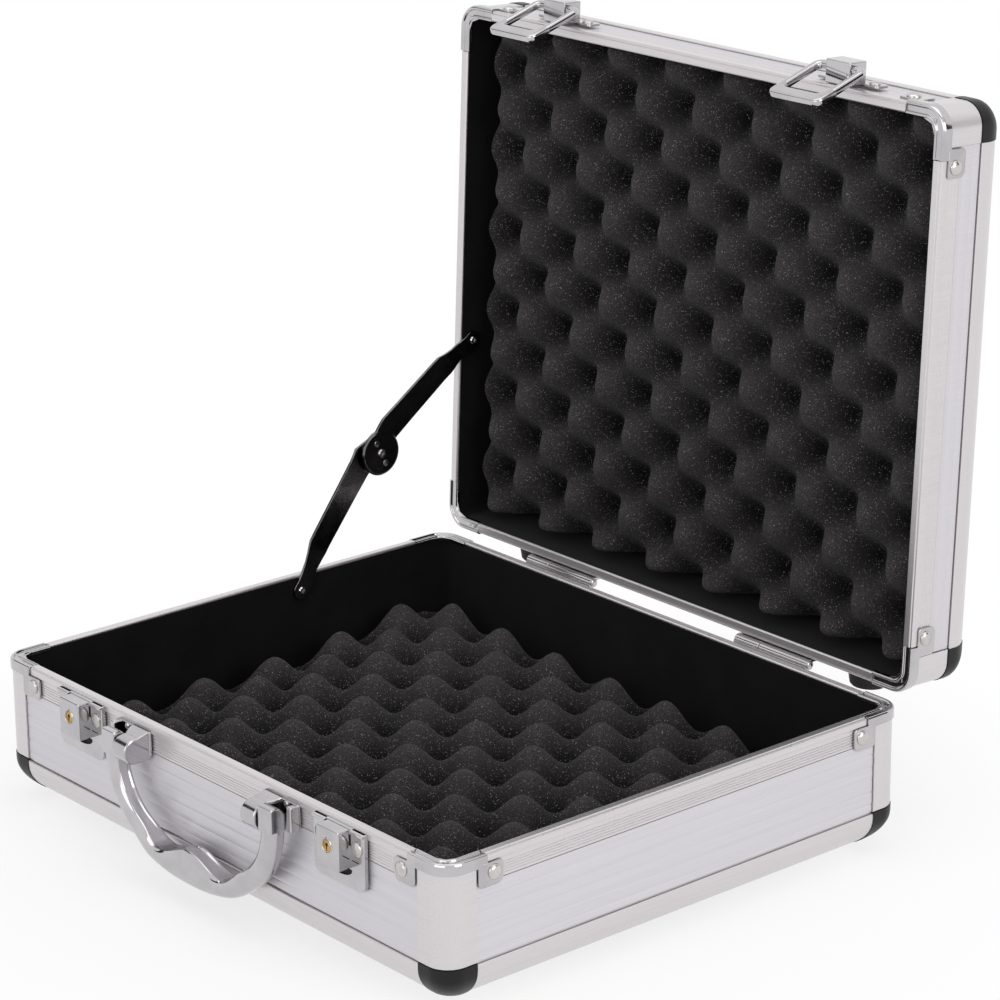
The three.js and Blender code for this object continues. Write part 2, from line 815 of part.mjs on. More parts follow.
function baseHingeLeaf() {
  const knuckleEnd = hingeLength * knuckleShare;
  const pin = rodAlongX(hingePinRadius, 0, hingeLength, 0, 0);
  return hingeLeaf(0, knuckleEnd - fit / 2, -hingeOffset, seam / 2).add(pin);
}

function lidHingeLeaf() {
  const knuckleEnd = hingeLength * knuckleShare;
  const bore = rodAlongX(hingePinRadius + fit, -overrun, hingeLength + overrun, 0, 0);
  return hingeLeaf(knuckleEnd + fit / 2, hingeLength, -hingeOffset + fit, seam / 2)
    .mirror([0, 0, 1])
    .subtract(bore);
}

// A tapered rubber foot, drawn standing out along +Y.
function foot() {
  const profile = [[0, 0], [footRadius, 0], [footTipRadius, footHeight], [0, footHeight]];
  return solid(new THREE.LatheGeometry(profile.map(([r, y]) => new THREE.Vector2(r, y)), pinSides));
}

// One arm of the stay along +Y, cranked from the wall to its own plane.
function stayArmBody(crank) {
  const half = stayThickness / 2;
  const section = (y, x, width) => [
    [x - half, y, -width],
    [x + half, y, -width],
    [x + half, y, width],
    [x - half, y, width],
  ];
  const loops = [];
  for (let i = 1; i <= roundSteps; i++) {
    const angle = (Math.PI / 2) * (i / roundSteps);
    loops.push(section(-stayTipRadius * Math.cos(angle), 0, stayTipRadius * Math.sin(angle)));
  }
  loops.push(section(stayCrankStart, 0, stayTipRadius));
  loops.push(section(stayCrankEnd, crank, stayHalfWidth));
  loops.push(section(stayArm, crank, stayHalfWidth));
  const elbow = rodAlongX(stayElbowRadius, crank - half, crank + half, stayArm, 0);
  return loft(loops).add(elbow);
}

const lowerCrank = stayThickness + fit;
const upperCrank = lowerCrank + stayThickness + fit;

function stayLower() {
  const half = stayThickness / 2;
  const discStart = upperCrank + half + fit;
  const rivet = rodAlongX(stayRivetRadius, lowerCrank, discStart + stayDiscThickness, stayArm, 0);
  const disc = rodAlongX(stayDiscRadius, discStart, discStart + stayDiscThickness, stayArm, 0);
  return joined(stayArmBody(lowerCrank), rivet, disc);
}

function stayUpper() {
  const half = stayThickness / 2;
  const bore = rodAlongX(
    stayRivetRadius + fit, upperCrank - half - overrun, upperCrank + half + overrun, stayArm, 0,
  );
  return stayArmBody(upperCrank).subtract(bore);
}

function turned(y, z, angle) {
  const cos = Math.cos(angle);
  const sin = Math.sin(angle);
  return [hingeY + (y - hingeY) * cos - (z - hingeZ) * sin, hingeZ + (y - hingeY) * sin + (z - hingeZ) * cos];
}

// The base and what is fixed to it or swings on it.
function base() {
  const group = baseShell();
  lockPlaces.forEach((x, i) => {
    const side = i === 0 ? "left" : "right";
    const lock = new THREE.Group();
    lock.position.x = x;
    lock.add(mesh("lock_body_" + side, lockBody(), "chrome"));
    const cylinder = mesh("lock_cylinder_" + side, lockCylinder(), "brass");
    cylinder.position.set(0, front - lockBoxDepth, lockTop - keyDrop);
    lock.add(cylinder);
    group.add(lock);
    const rightBracket = handleBracket();
    const fitting = x < 0 ? rightBracket.mirror([1, 0, 0]) : rightBracket;
    const bracket = mesh("handle_bracket_" + side, fitting, "chrome");
    bracket.position.x = Math.sign(x) * handleHalfSpan;
    group.add(bracket);
    const leaf = mesh("hinge_leaf_base_" + side, baseHingeLeaf(), "chrome");
    leaf.position.set(hingeStarts[i], hingeY, hingeZ);
    group.add(leaf);
  });
  const handle = mesh("handle", handleBody(), "chrome");
  handle.position.set(0, front - handleAxisOut, handleAxisHeight);
  group.add(handle);
  return group;
}

// The lid and what rides on it, drawn shut and then opened about the hinge axis.
function lid() {
  const shut = new THREE.Group();
  shut.add(lidShell());
  lockPlaces.forEach((x, i) => {
    const side = i === 0 ? "left" : "right";
    const plate = mesh("hasp_plate_" + side, haspPlate(), "chrome");
    plate.position.x = x;
    const pivot = new THREE.Group();
    pivot.position.set(x, front - haspOut, lidRim + haspUp);
    pivot.rotation.x = deg(haspDroop);
    pivot.add(mesh("hasp_pin_" + side, haspPin(), "chrome"), mesh("hasp_" + side, hasp(), "chrome"));
    const leaf = mesh("hinge_leaf_lid_" + side, lidHingeLeaf(), "chrome");
    leaf.position.set(hingeStarts[i], hingeY, hingeZ);
    const pad = mesh("rubber_foot_" + side, foot(), "rubber");
    pad.position.set(footPlaces[i], back + fit, lidRim + footRise);
    shut.add(plate, pivot, leaf, pad);
  });
  shut.position.set(0, -hingeY, -hingeZ);
  const opened = new THREE.Group();
  opened.add(shut);
  opened.rotation.x = -open;
  opened.position.set(0, hingeY, hingeZ);
  return opened;
}

// The folding stay, with both arms laid out for the open lid.
function stay() {
  const x = -halfWidth + wall + fit + stayThickness / 2;
  const lower = [stayY, baseHeight - stayLowerDrop];
  const upper = turned(stayY, lidRim + stayUpperRise, -open);
  const across = [upper[0] - lower[0], upper[1] - lower[1]];
  const span = Math.hypot(...across);
  const sag = Math.sqrt(stayArm ** 2 - (span / 2) ** 2);
  const elbow = [
    (lower[0] + upper[0]) / 2 - (across[1] / span) * sag,
    (lower[1] + upper[1]) / 2 + (across[0] / span) * sag,
  ];
  const group = new THREE.Group();
  const arms = [
    ["stay_lower_arm", stayLower(), lower],
    ["stay_upper_arm", stayUpper(), upper],
  ];
  for (const [name, piece, at] of arms) {
    const arm = mesh(name, piece, "steel");
    arm.position.set(x, at[0], at[1]);
    arm.rotation.x = Math.atan2(elbow[1] - at[1], elbow[0] - at[0]);
    group.add(arm);
  }
  return group;
}

const flightCase = new THREE.Group();
flightCase.add(base(), lid(), stay());

export default flightCase;
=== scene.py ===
# %% [markdown]
# # A small flight case with an aluminium frame
# The case lies open on a pale table. Its two halves are shallow tubs: ribbed sheet on the sides, rounded
# aluminium extrusions along the edges, black plastic caps and chrome corners where three edges meet, and
# black egg-crate foam inside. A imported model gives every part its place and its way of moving. This script
# builds the fine surface of each part around that model.

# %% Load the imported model
from math import asin, cos, hypot, pi, radians, sin, sqrt

import bmesh
import bpy
from mathutils import Matrix, Vector, noise


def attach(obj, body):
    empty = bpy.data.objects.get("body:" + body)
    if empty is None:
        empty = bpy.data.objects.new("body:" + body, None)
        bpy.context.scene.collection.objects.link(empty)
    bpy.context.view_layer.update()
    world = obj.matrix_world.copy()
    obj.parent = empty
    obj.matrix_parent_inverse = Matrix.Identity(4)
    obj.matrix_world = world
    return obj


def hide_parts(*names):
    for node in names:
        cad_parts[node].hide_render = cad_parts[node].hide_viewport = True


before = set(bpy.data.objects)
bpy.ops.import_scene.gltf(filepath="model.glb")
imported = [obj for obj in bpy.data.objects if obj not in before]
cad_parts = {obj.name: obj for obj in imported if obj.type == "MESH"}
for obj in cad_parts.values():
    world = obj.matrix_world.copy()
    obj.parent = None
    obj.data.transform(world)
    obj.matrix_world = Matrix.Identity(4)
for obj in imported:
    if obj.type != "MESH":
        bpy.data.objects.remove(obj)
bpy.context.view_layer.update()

# %% [markdown]
# ## Sizes
# All sizes are in millimetres and turn into metres when a piece is set down. The main ones are the sizes
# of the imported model, so that every new surface lands on the part that it stands for.

# %% Sizes of the case
METRE_PER_MM = 0.001
WIDTH, DEPTH = 300.0, 248.0
HALF_WIDTH, HALF_DEPTH = WIDTH / 2, DEPTH / 2
FRONT, BACK = -HALF_DEPTH, HALF_DEPTH
SEAM = 0.6
FIT = 0.3
OPEN_ANGLE = 92.7
HINGE_Y, HINGE_Z = BACK + 2.6, 65.3
HALVES = {
    "base": {"height": 65.0, "edge": 20.7, "front": -1, "floor": "base_bottom_panel"},
    "lid": {"height": 45.0, "edge": 21.5, "front": 1, "floor": "lid_top_panel"},
}
LID_RIM = HALVES["base"]["height"] + SEAM
SIDES = (("left", -1), ("right", 1))
print("case", WIDTH, "by", DEPTH, "with halves", [half["height"] for half in HALVES.values()])

# %% [markdown]
# ## Places
# The lid is drawn like the base, floor down and shut over it, and one matrix then turns it over and swings
# it open about the hinge. Another matrix does the same for a hasp. Drawing a part in its easiest position
# and moving it once keeps its numbers readable.

# %% Placing matrices
AT_HOME = Matrix.Identity(4)
SWUNG_OPEN = (
    Matrix.Translation((0, HINGE_Y, HINGE_Z))
    @ Matrix.Rotation(radians(-OPEN_ANGLE), 4, "X")
    @ Matrix.Translation((0, -HINGE_Y, -HINGE_Z))
)
TURNED_OVER = Matrix.Translation((0, 0, LID_RIM + HALVES["lid"]["height"])) @ Matrix.Rotation(pi, 4, "X")
PLACES = {"base": AT_HOME, "lid": SWUNG_OPEN @ TURNED_OVER}
print("open lid reaches", round((PLACES["lid"] @ Vector((0, HALF_DEPTH, 0))).z, 1), "mm up")

# %% [markdown]
# ## Effects that several finishes share
# Metal, plastic, foam and flock all look real through small changes over the surface. Each such effect is
# a node group with named inputs, built once. The groups read object coordinates, so the pattern is fixed
# to the part and moves with it, and no unwrapping is needed. Small helpers add a node and link it in one
# statement.

# %% Helpers for nodes
NODE_STEP = 180
MIX_SOCKETS = {"FLOAT": (0, 2, 3, 0), "RGBA": (0, 6, 7, 2)}


def give(target, value):
    """Links a socket to an input, or sets the input to a plain value."""
    if isinstance(value, bpy.types.NodeSocket):
        target.id_data.links.new(value, target)
    else:
        target.default_value = value


def set_up(node, settings):
    """Gives a node its properties, and its inputs their numbers or sockets, by name."""
    for label, value in settings.items():
        if hasattr(node, label):
            setattr(node, label, value)
        else:
            give(node.inputs[label.replace("_", " ")], value)
    return node


def add(tree, kind, **settings):
    node = tree.nodes.new("ShaderNode" + kind)
    node.location.x = len(tree.nodes) * NODE_STEP
    return set_up(node, settings)


def texture(tree, kind, **settings):
    """The outputs of a texture that reads object coordinates, so it is fixed to the part."""
    place = add(tree, "TexCoord")
    return add(tree, "Tex" + kind, Vector=place.outputs["Object"], **settings).outputs


def maths(operation, first, second=0.0):
    """The result of a math node for a socket and a second socket or number."""
    node = add(first.id_data, "Math", operation=operation)
    give(node.inputs[0], first)
    give(node.inputs[1], second)
    return node.outputs[0]


def ranged(control, low, high, to_low=0.0, to_high=1.0, curve="LINEAR"):
    """A control that runs from low to high, stretched over another range."""
    bounds = {"From_Min": low, "From_Max": high, "To_Min": to_low, "To_Max": to_high}
    return add(control.id_data, "MapRange", interpolation_type=curve, Value=control, **bounds).outputs[0]


def mixed(tree, kind, factor, first, second, blend="MIX"):
    """The mix of two numbers (FLOAT) or of two colours (RGBA)."""
    node = add(tree, "Mix", data_type=kind, blend_type=blend)
    *places, result = MIX_SOCKETS[kind]
    for place, value in zip(places, (factor, first, second)):
        give(node.inputs[place], value)
    return node.outputs[result]


def effect(name, inputs, outputs):
    """A new group of float sockets: the group, the values it is given and the ones it gives back."""
    group = bpy.data.node_groups.new(name, "ShaderNodeTree")
    for label, value in inputs.items():
        socket = group.interface.new_socket(label, in_out="INPUT", socket_type="NodeSocketFloat")
        socket.default_value = value
    for label in outputs:
        group.interface.new_socket(label, in_out="OUTPUT", socket_type="NodeSocketFloat")
    start = group.nodes.new("NodeGroupInput")
    end = group.nodes.new("NodeGroupOutput")
    end.location.x = 8 * NODE_STEP
    return group, start.outputs, end.inputs


print("helpers for nodes are ready")

# %% [markdown]
# ### Brushed grain
# Sheet and extrusions leave the rolling mill with fine lines along their length. A noise that is
# stretched a hundred times along one axis gives such lines. The walls run two ways, so the group holds a
# pattern for each and picks the one that suits the face, by its normal.

# %% Brushed grain group
grain, given, result = effect(
    "brushed_grain",
    {"Fine Scale": 1800.0, "Long Scale": 25.0, "Speckle Scale": 2600.0, "Speckle": 0.4},
    ("Shade",),
)
SIDE_FACING = 0.6
on_part = add(grain, "TexCoord").outputs
along = add(grain, "SeparateXYZ", Vector=on_part["Object"]).outputs
facing = add(grain, "SeparateXYZ", Vector=on_part["Normal"]).outputs
layers = []
for run in ("X", "Y"):
    stretched = add(grain, "CombineXYZ")
    for axis in "XYZ":
        scale = given["Long Scale" if axis == run else "Fine Scale"]
        give(stretched.inputs[axis], maths("MULTIPLY", along[axis], scale))
    lines = add(grain, "TexNoise", Vector=stretched.outputs[0], Scale=1.0, Detail=2.0)
    layers.append(lines.outputs["Fac"])
towards_side = maths("GREATER_THAN", maths("ABSOLUTE", facing["X"]), SIDE_FACING)
lines = mixed(grain, "FLOAT", towards_side, *layers)
specks = texture(grain, "Noise", Scale=given["Speckle Scale"], Detail=2.0)
give(result["Shade"], mixed(grain, "FLOAT", given["Speckle"], lines, specks["Fac"]))
print("brushed grain has", len(grain.nodes), "nodes")

# %% [markdown]
# ### Handling marks
# Hands leave a faint haze on chrome and anodised metal. A broad, soft noise shifts the roughness a little
# between a low and a high value, which breaks up reflections that would otherwise look too perfect.

# %% Handling marks group
marks, given, result = effect(
    "handling_marks", {"Scale": 60.0, "Smooth": 0.06, "Hazy": 0.16}, ("Roughness", "Mask")
)
haze = texture(marks, "Noise", Scale=given["Scale"], Detail=4.0)
mask = ranged(haze["Fac"], 0.35, 0.7, curve="SMOOTHSTEP")
give(result["Roughness"], mixed(marks, "FLOAT", mask, given["Smooth"], given["Hazy"]))
give(result["Mask"], mask)
print("handling marks has", len(marks.nodes), "nodes")

# %% [markdown]
# ### Open cells
# Polyurethane foam is a mass of tiny open bubbles. Here and there a cell wall faces the lamp and glints.
# A cell pattern gives the pores, and a second, sparse one picks the few cells that get a painted glint: a
# light tone put into the foam's colour, not a reflection.

# %% Open cells group
cells, given, result = effect(
    "open_cells",
    {"Cell Scale": 1300.0, "Glint Scale": 2300.0, "Glint Share": 0.18, "Cloud Scale": 90.0},
    ("Height", "Painted_Glints", "Clouds"),
)
GLINT_RADIUS = 0.42
pores = texture(cells, "Voronoi", Scale=given["Cell Scale"])
give(result["Height"], pores["Distance"])
# Painted highlights: the few cells picked here are given a light colour as glints.
glint_cells = texture(cells, "Voronoi", Scale=given["Glint Scale"])
lot = add(cells, "SeparateColor", Color=glint_cells["Color"]).outputs
drawn = maths("LESS_THAN", lot["Red"], given["Glint Share"])
near = maths("LESS_THAN", glint_cells["Distance"], GLINT_RADIUS)
lit = maths("MULTIPLY", maths("MULTIPLY", drawn, near), lot["Green"])
give(result["Painted_Glints"], maths("MULTIPLY", lit, lot["Blue"]))
clouds = texture(cells, "Noise", Scale=given["Cloud Scale"], Detail=3.0)
give(result["Clouds"], clouds["Fac"])
print("open cells has", len(cells.nodes), "nodes")

# %% [markdown]
# ### Fine pile
# The lining is flocked, and the plastic caps and rubber feet have a fine spark-eroded skin. Both are a
# dense, even noise. The scale decides which of the two it looks like.

# %% Fine pile group
pile, given, result = effect("fine_pile", {"Scale": 3000.0}, ("Height", "Shade"))
fibres = texture(pile, "Noise", Scale=given["Scale"], Detail=3.0)
patches = texture(pile, "Noise", Scale=45.0, Detail=3.0)
give(result["Height"], fibres["Fac"])
give(result["Shade"], maths("ADD", fibres["Fac"], patches["Fac"]))
print("fine pile has", len(pile.nodes), "nodes")

# %% [markdown]
# ## Finishes
# Every finish is one Principled material. The colour runs between a dark and a light tone under the
# control of a group, and a Bump node takes its height from the same group. Plain numbers are set on the
# sockets of the shader itself.

# %% Helpers for finishes
finishes = {}
MIDDLE = (0.3, 0.7)
PILE_SHADES = (0.8, 1.2)


def tone(*levels):
    """A display colour from 0 to 255 as the linear colour that a material stores."""
    shares = [level / 255 for level in levels]
    linear = [s / 12.92 if level < 11 else ((s + 0.055) / 1.055) ** 2.4 for s, level in zip(shares, levels)]
    return (*linear, 1.0)


def new_finish(name, **settings):
    """A new material: its node tree and its Principled shader."""
    made = bpy.data.materials.new(name)
    made.use_nodes = True
    finishes[name] = made
    return made.node_tree, set_up(made.node_tree.nodes["Principled BSDF"], settings)


def bumped(shader, height, strength, distance):
    bump = add(shader.id_data, "Bump", Height=height, Strength=strength, Distance=distance)
    give(shader.inputs["Normal"], bump.outputs["Normal"])


def finish(name, group, effects, dark, light, over, shade="Shade", height="Height",
           rough=None, bump=None, **settings):
    """A finish with one group. The colour runs from dark to light over a range of the group's shade, and
    the roughness and the bump (strength, distance) follow its height."""
    tree, shader = new_finish(name, **settings)
    source = add(tree, "Group", node_tree=group, **effects).outputs
    colour = mixed(tree, "RGBA", ranged(source[shade], *over), tone(*dark), tone(*light))
    give(shader.inputs["Base Color"], colour)
    if "Roughness" in source:
        give(shader.inputs["Roughness"], source["Roughness"])
    elif rough:
        give(shader.inputs["Roughness"], ranged(source[height], *MIDDLE, *rough))
    if bump:
        bumped(shader, source[height], *bump)


print("helpers for finishes are ready")

# %% [markdown]
# ### Aluminium and ribbed sheet
# The extrusions are satin anodised, a slightly warm grey. The ribbed sheet on the walls is as light and has
# a cool, lilac cast. Neither is a mirror, so the metallic value stays under one, which keeps some of the
# soft white of an anodised layer.

# %% Aluminium finishes
finish("aluminium", grain, {"Fine_Scale": 2600.0, "Speckle": 0.35}, (208, 204, 206), (220, 216, 218), MIDDLE,
       height="Shade", rough=(0.29, 0.35), bump=(0.04, 0.00002), Metallic=0.8)
finish("ribbed_panel", grain, {"Fine_Scale": 2600.0, "Long_Scale": 14.0, "Speckle": 0.25},
       (207, 204, 209), (219, 216, 221), MIDDLE,
       height="Shade", rough=(0.38, 0.48), bump=(0.12, 0.00002), Metallic=0.6)
print("aluminium finishes made")

# %% [markdown]
# ### Chrome, steel and brass
# The corners, locks, hasps and handle are nickel-chrome plated. The stay is glossy black plated steel, and
# the little key cylinders are brass. Handling marks vary their roughness.

# %% Plated finishes
PLATED = {
    "chrome": (70.0, 0.07, 0.15, (193, 191, 193), (182, 180, 182)),
    "rivet_metal": (220.0, 0.2, 0.36, (204, 201, 198), (184, 181, 178)),
    "black_steel": (90.0, 0.14, 0.24, (122, 120, 122), (102, 100, 102)),
    "brass": (300.0, 0.2, 0.42, (196, 164, 106), (158, 124, 74)),
}
for name, (scale, smooth, hazy, clean, touched) in PLATED.items():
    effects = {"Scale": scale, "Smooth": smooth, "Hazy": hazy}
    finish(name, marks, effects, clean, touched, (0.0, 1.0), shade="Mask", Metallic=1.0)
finish("deep_shadow", pile, {"Scale": 1500.0}, (9, 9, 10), (20, 20, 21), PILE_SHADES, Roughness=0.8)
print("plated finishes made")

# %% [markdown]
# ### Plastic, rubber, flock and foam
# These are the dark finishes. They differ in gloss and in the scale of their texture: a satin skin on the
# caps, a dull one on the rubber, short fibres on the lining and open cells in the foam. Little light gets
# down into the pits of the foam, so its colour also follows the height that is stored on the pads.

# %% Dark finishes
finish("corner_plastic", pile, {"Scale": 2200.0}, (11, 11, 12), (16, 16, 17), PILE_SHADES,
       rough=(0.34, 0.46), bump=(0.15, 0.00003), Specular_IOR_Level=0.3)
finish("rubber", pile, {"Scale": 1300.0}, (24, 24, 25), (38, 38, 39), PILE_SHADES,
       rough=(0.62, 0.85), bump=(0.3, 0.00006))
finish("lining", pile, {"Scale": 2600.0}, (9, 9, 10), (20, 19, 20), (0.75, 1.25),
       bump=(0.5, 0.00012), Roughness=0.95, Specular_IOR_Level=0.1, Sheen_Weight=0.05)
print("plastic, rubber and flock made")

# %% Foam finish
CLOUD_SHARE, PORE_SHADES = 0.3, (0.35, 1.3)
tree, shader = new_finish(
    "foam", Roughness=1.0, Specular_IOR_Level=0.05, Sheen_Weight=0.06, Sheen_Roughness=0.6
)
open_cells = add(tree, "Group", node_tree=cells).outputs
# Painted shade: the colour runs from dark in the pits to lighter on the peaks, after the stored height.
rise = add(tree, "Attribute", attribute_name="rise").outputs["Fac"]
level = maths("ADD", rise, maths("MULTIPLY", open_cells["Clouds"], CLOUD_SHARE))
shaded_by_height = mixed(tree, "RGBA", ranged(level, 0.22, 1.1), tone(14, 13, 14), tone(57, 54, 55))
# Painted shade in the pores: the colour is darker towards the middle of each cell.
painted_pore_shade = ranged(open_cells["Height"], 0.0, 0.6, *PORE_SHADES)
porous = mixed(tree, "RGBA", 1.0, shaded_by_height, painted_pore_shade, "MULTIPLY")
# Painted glints: a light tone mixed into the colour where the sparse cells glint.
with_painted_glints = mixed(tree, "RGBA", open_cells["Painted_Glints"], porous, tone(184, 180, 180))
give(shader.inputs["Base Color"], with_painted_glints)
bumped(shader, open_cells["Height"], 0.9, 0.0004)
print("finishes:", sorted(finishes))

# %% [markdown]
# ## Basic shapes
# Most parts are sheet, rod or turned metal. A few helpers make those as small meshes: a block with
# softened edges, a turned shape from its half profile, and a stamped plate with holes. A piece is then
# several of them joined. Stamped plates come from filled curves, because a curve cuts holes and rounds the
# edges in one go.

# %% Meshes from points, and joining
def mesh_of(points, faces):
    made = bmesh.new()
    corners = [made.verts.new(point) for point in points]
    for face in faces:
        if len(set(face)) > 2:
            made.faces.new([corners[index] for index in face])
    return made


def together(parts):
    """One mesh out of several, which are used up."""
    whole = bmesh.new()
    for part in parts:
        carrier = bpy.data.meshes.new("carrier")
        part.to_mesh(carrier)
        part.free()
        whole.from_mesh(carrier)
        bpy.data.meshes.remove(carrier)
    return whole


def moved(part, matrix):
    part.transform(matrix)
    return part


def flipped(part, sx, sy):
    """A part drawn for the rear right corner, for the corner with these signs."""
    for corner in part.verts:
        corner.co.x *= sx
        corner.co.y *= sy
    return part


print("helpers for meshes are ready")

# %% Blocks, turned shapes and lofts
def block(x0, x1, y0, y1, z0, z1, edge=0.0, steps=2):
    made = bmesh.new()
    bmesh.ops.create_cube(made, size=1)
    for corner in made.verts:
        corner.co.x = x0 + (corner.co.x + 0.5) * (x1 - x0)
        corner.co.y = y0 + (corner.co.y + 0.5) * (y1 - y0)
        corner.co.z = z0 + (corner.co.z + 0.5) * (z1 - z0)
    if edge:
        bmesh.ops.bevel(made, geom=made.edges[:], offset=edge, segments=steps, profile=0.5, affect="EDGES")
    return made


def turned(profile, at, towards, sides=40):
    """A half profile of (radius, height) pairs, spun about a line from at in the direction towards."""
    points, rings = [], []
    for radius, height in profile:
        if radius == 0:
            rings.append([len(points)] * sides)
            points.append((0, 0, height))
        else:
            rings.append(list(range(len(points), len(points) + sides)))
            points += [
                (radius * cos(2 * pi * k / sides), radius * sin(2 * pi * k / sides), height)
                for k in range(sides)
            ]
    faces = []
    for low, high in zip(rings, rings[1:]):
        for k in range(sides):
            after = (k + 1) % sides
            quad = [low[k], low[after], high[after], high[k]]
            faces.append(list(dict.fromkeys(quad)))
    for ring in (rings[0], rings[-1]):
        if len(set(ring)) > 1:
            faces.append(ring)
    turn = Vector(towards).to_track_quat("Z", "Y").to_matrix().to_4x4()
    return moved(mesh_of(points, faces), Matrix.Translation(at) @ turn)


def rod(radius, at, towards, length, edge=0.3, sides=32):
    flat = radius - edge
    profile = [(0, 0), (flat, 0), (radius, edge), (radius, length - edge), (flat, length), (0, length)]
    return turned(profile, at, towards, sides)


def loft(loops, closed=False, merged=True):
    """A skin over equal loops of points: open ends are capped, or the last loop joins the first. Points
    that fall together become one, if merged."""
    count = len(loops[0])
    points = [point for loop in loops for point in loop]
    faces = []
    spans = len(loops) if closed else len(loops) - 1
    for i in range(spans):
        start, following = i * count, ((i + 1) % len(loops)) * count
        for j in range(count):
            k = (j + 1) % count
            faces.append([start + j, start + k, following + k, following + j])
    if not closed:
        faces.append(list(range(count)))
        faces.append(list(range((len(loops) - 1) * count, len(loops) * count)))
    made = mesh_of(points, faces)
    if merged:
        bmesh.ops.remove_doubles(made, verts=made.verts[:], dist=0.001)
    return made


print("blocks, turned shapes and lofts are ready")

# %% Stamped plates
def arc(middle, radii, start, sweep, steps):
    """Points along part of an ellipse, with both ends."""
    turns = [start + sweep * step / steps for step in range(steps + 1)]
    return [(middle[0] + radii[0] * cos(turn), middle[1] + radii[1] * sin(turn)) for turn in turns]


def rounded(x0, x1, z0, z1, radii, steps=6):
    """A rectangle with its corners rounded: lower left, lower right, upper right, upper left."""
    outline = []
    middles = ((x0, z0, 1, 1), (x1, z0, -1, 1), (x1, z1, -1, -1), (x0, z1, 1, -1))
    for index, ((x, z, sx, sz), radius) in enumerate(zip(middles, radii)):
        if radius:
            middle = (x + sx * radius, z + sz * radius)
            outline += arc(middle, (radius, radius), pi + index * pi / 2, pi / 2, steps)
        else:
            outline.append((x, z))
    return outline


FACING = {
    "front": Matrix(((1, 0, 0, 0), (0, 0, -1, 0), (0, 1, 0, 0), (0, 0, 0, 1))),
    "side": Matrix(((0, 0, 1, 0), (1, 0, 0, 0), (0, 1, 0, 0), (0, 0, 0, 1))),
    "up": Matrix.Identity(4),
}


def plate(outlines, depth, facing, at, edge=0.2, steps=2):
    """Closed outlines, the first one outside and the rest holes, made into a plate that stands depth
    proud of the level at, towards the front, +X or up."""
    curve = bpy.data.curves.new("stamping", "CURVE")
    curve.dimensions = "2D"
    curve.fill_mode = "BOTH"
    curve.extrude = depth / 2 - edge
    curve.bevel_depth = edge
    curve.bevel_resolution = steps
    curve.offset = -edge
    for outline in outlines:
        spline = curve.splines.new("POLY")
        spline.points.add(len(outline) - 1)
        for point, (u, v) in zip(spline.points, outline):
            point.co = (u, v, 0, 1)
        spline.use_cyclic_u = True
    holder = bpy.data.objects.new("stamping", curve)
    bpy.context.scene.collection.objects.link(holder)
    bpy.context.view_layer.update()
    flat = bpy.data.meshes.new_from_object(holder.evaluated_get(bpy.context.evaluated_depsgraph_get()))
    made = bmesh.new()
    made.from_mesh(flat)
    bpy.data.objects.remove(holder)
    bpy.data.curves.remove(curve)
    bpy.data.meshes.remove(flat)
    bmesh.ops.remove_doubles(made, verts=made.verts[:], dist=0.002)
    lift = {"front": (0, at, 0), "side": (at, 0, 0), "up": (0, 0, at)}[facing]
    return moved(made, Matrix.Translation(lift) @ FACING[facing] @ Matrix.Translation((0, 0, depth / 2)))


print("stamped plates are ready")

# %% [markdown]
# ## Setting a piece down
# One helper finishes every piece: it scales it to metres, puts it in its place, shades it smooth with
# crisp edges, gives it its finish, and ties it to the body that it moves with. Weighted normals keep large
# flat faces flat next to small rounded edges.


def set_down(name, parts, finish, body, node=None, place=AT_HOME, crisp=32):
    """Makes one piece of the parts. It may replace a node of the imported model."""
    whole = together(parts)
    whole.transform(Matrix.Scale(METRE_PER_MM, 4) @ place)
    bmesh.ops.recalc_face_normals(whole, faces=whole.faces[:])
    skin = bpy.data.meshes.new(name)
    whole.to_mesh(skin)
    whole.free()
    skin.materials.append(finishes[finish])
    skin.shade_smooth()
    skin.set_sharp_from_angle(angle=radians(crisp))
    piece = bpy.data.objects.new(name, skin)
    bpy.context.scene.collection.objects.link(piece)
    steady = piece.modifiers.new("steady_shading", "WEIGHTED_NORMAL")
    steady.keep_sharp = True
    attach(piece, body)
    if node:
        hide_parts(node)
    return piece


def fasten(name, parts, body, place=AT_HOME):
    """Rivets or screws, which replace nothing."""
    set_down(name, parts, "rivet_metal", body, None, place)


print("ready to set pieces down")

# %% [markdown]
# ## The rounded tub
# Both halves follow one rounded tub. Its walls are upright above 18 mm. Below that they curve in on a
# flat ellipse, and the 10 mm corners tighten at the same rate. A point of the wall is named by its inset
# from the outside and its height, and one function says where that lies in plan. Every long part is then
# a profile of such points that is carried around the tub.

# %% The tub and its stations
CORNER_RADIUS, EDGE_REACH, EDGE_ROUND = 10.0, 30.0, 18.0
ARC_STEPS = 12


def in_plan(inset, height):
    """Distance of the wall from the outer face, and the corner radius, at an inset and a height."""
    lift = min(max((EDGE_ROUND - height) / (EDGE_ROUND - inset), 0), 1)
    share = sqrt(1 - lift * lift)
    return inset + (1 - share) * (EDGE_REACH - inset), max(share * (CORNER_RADIUS - inset), 0)


def on_corner(inset, height, station, sx, sy):
    """The point of the wall at one station of a corner. A station is on the X face or the Y face at a
    distance from the outer corner, or at an angle on the arc."""
    kind, value = station
    off, radius = in_plan(inset, height)
    if kind == "arc":
        x = HALF_WIDTH - off - radius + radius * cos(value)
        y = HALF_DEPTH - off - radius + radius * sin(value)
    elif kind == "x face":
        x = HALF_WIDTH - off
        y = HALF_DEPTH - max(value, off + radius)
    else:
        x = HALF_WIDTH - max(value, off + radius)
        y = HALF_DEPTH - off
    return (sx * x, sy * y, height)


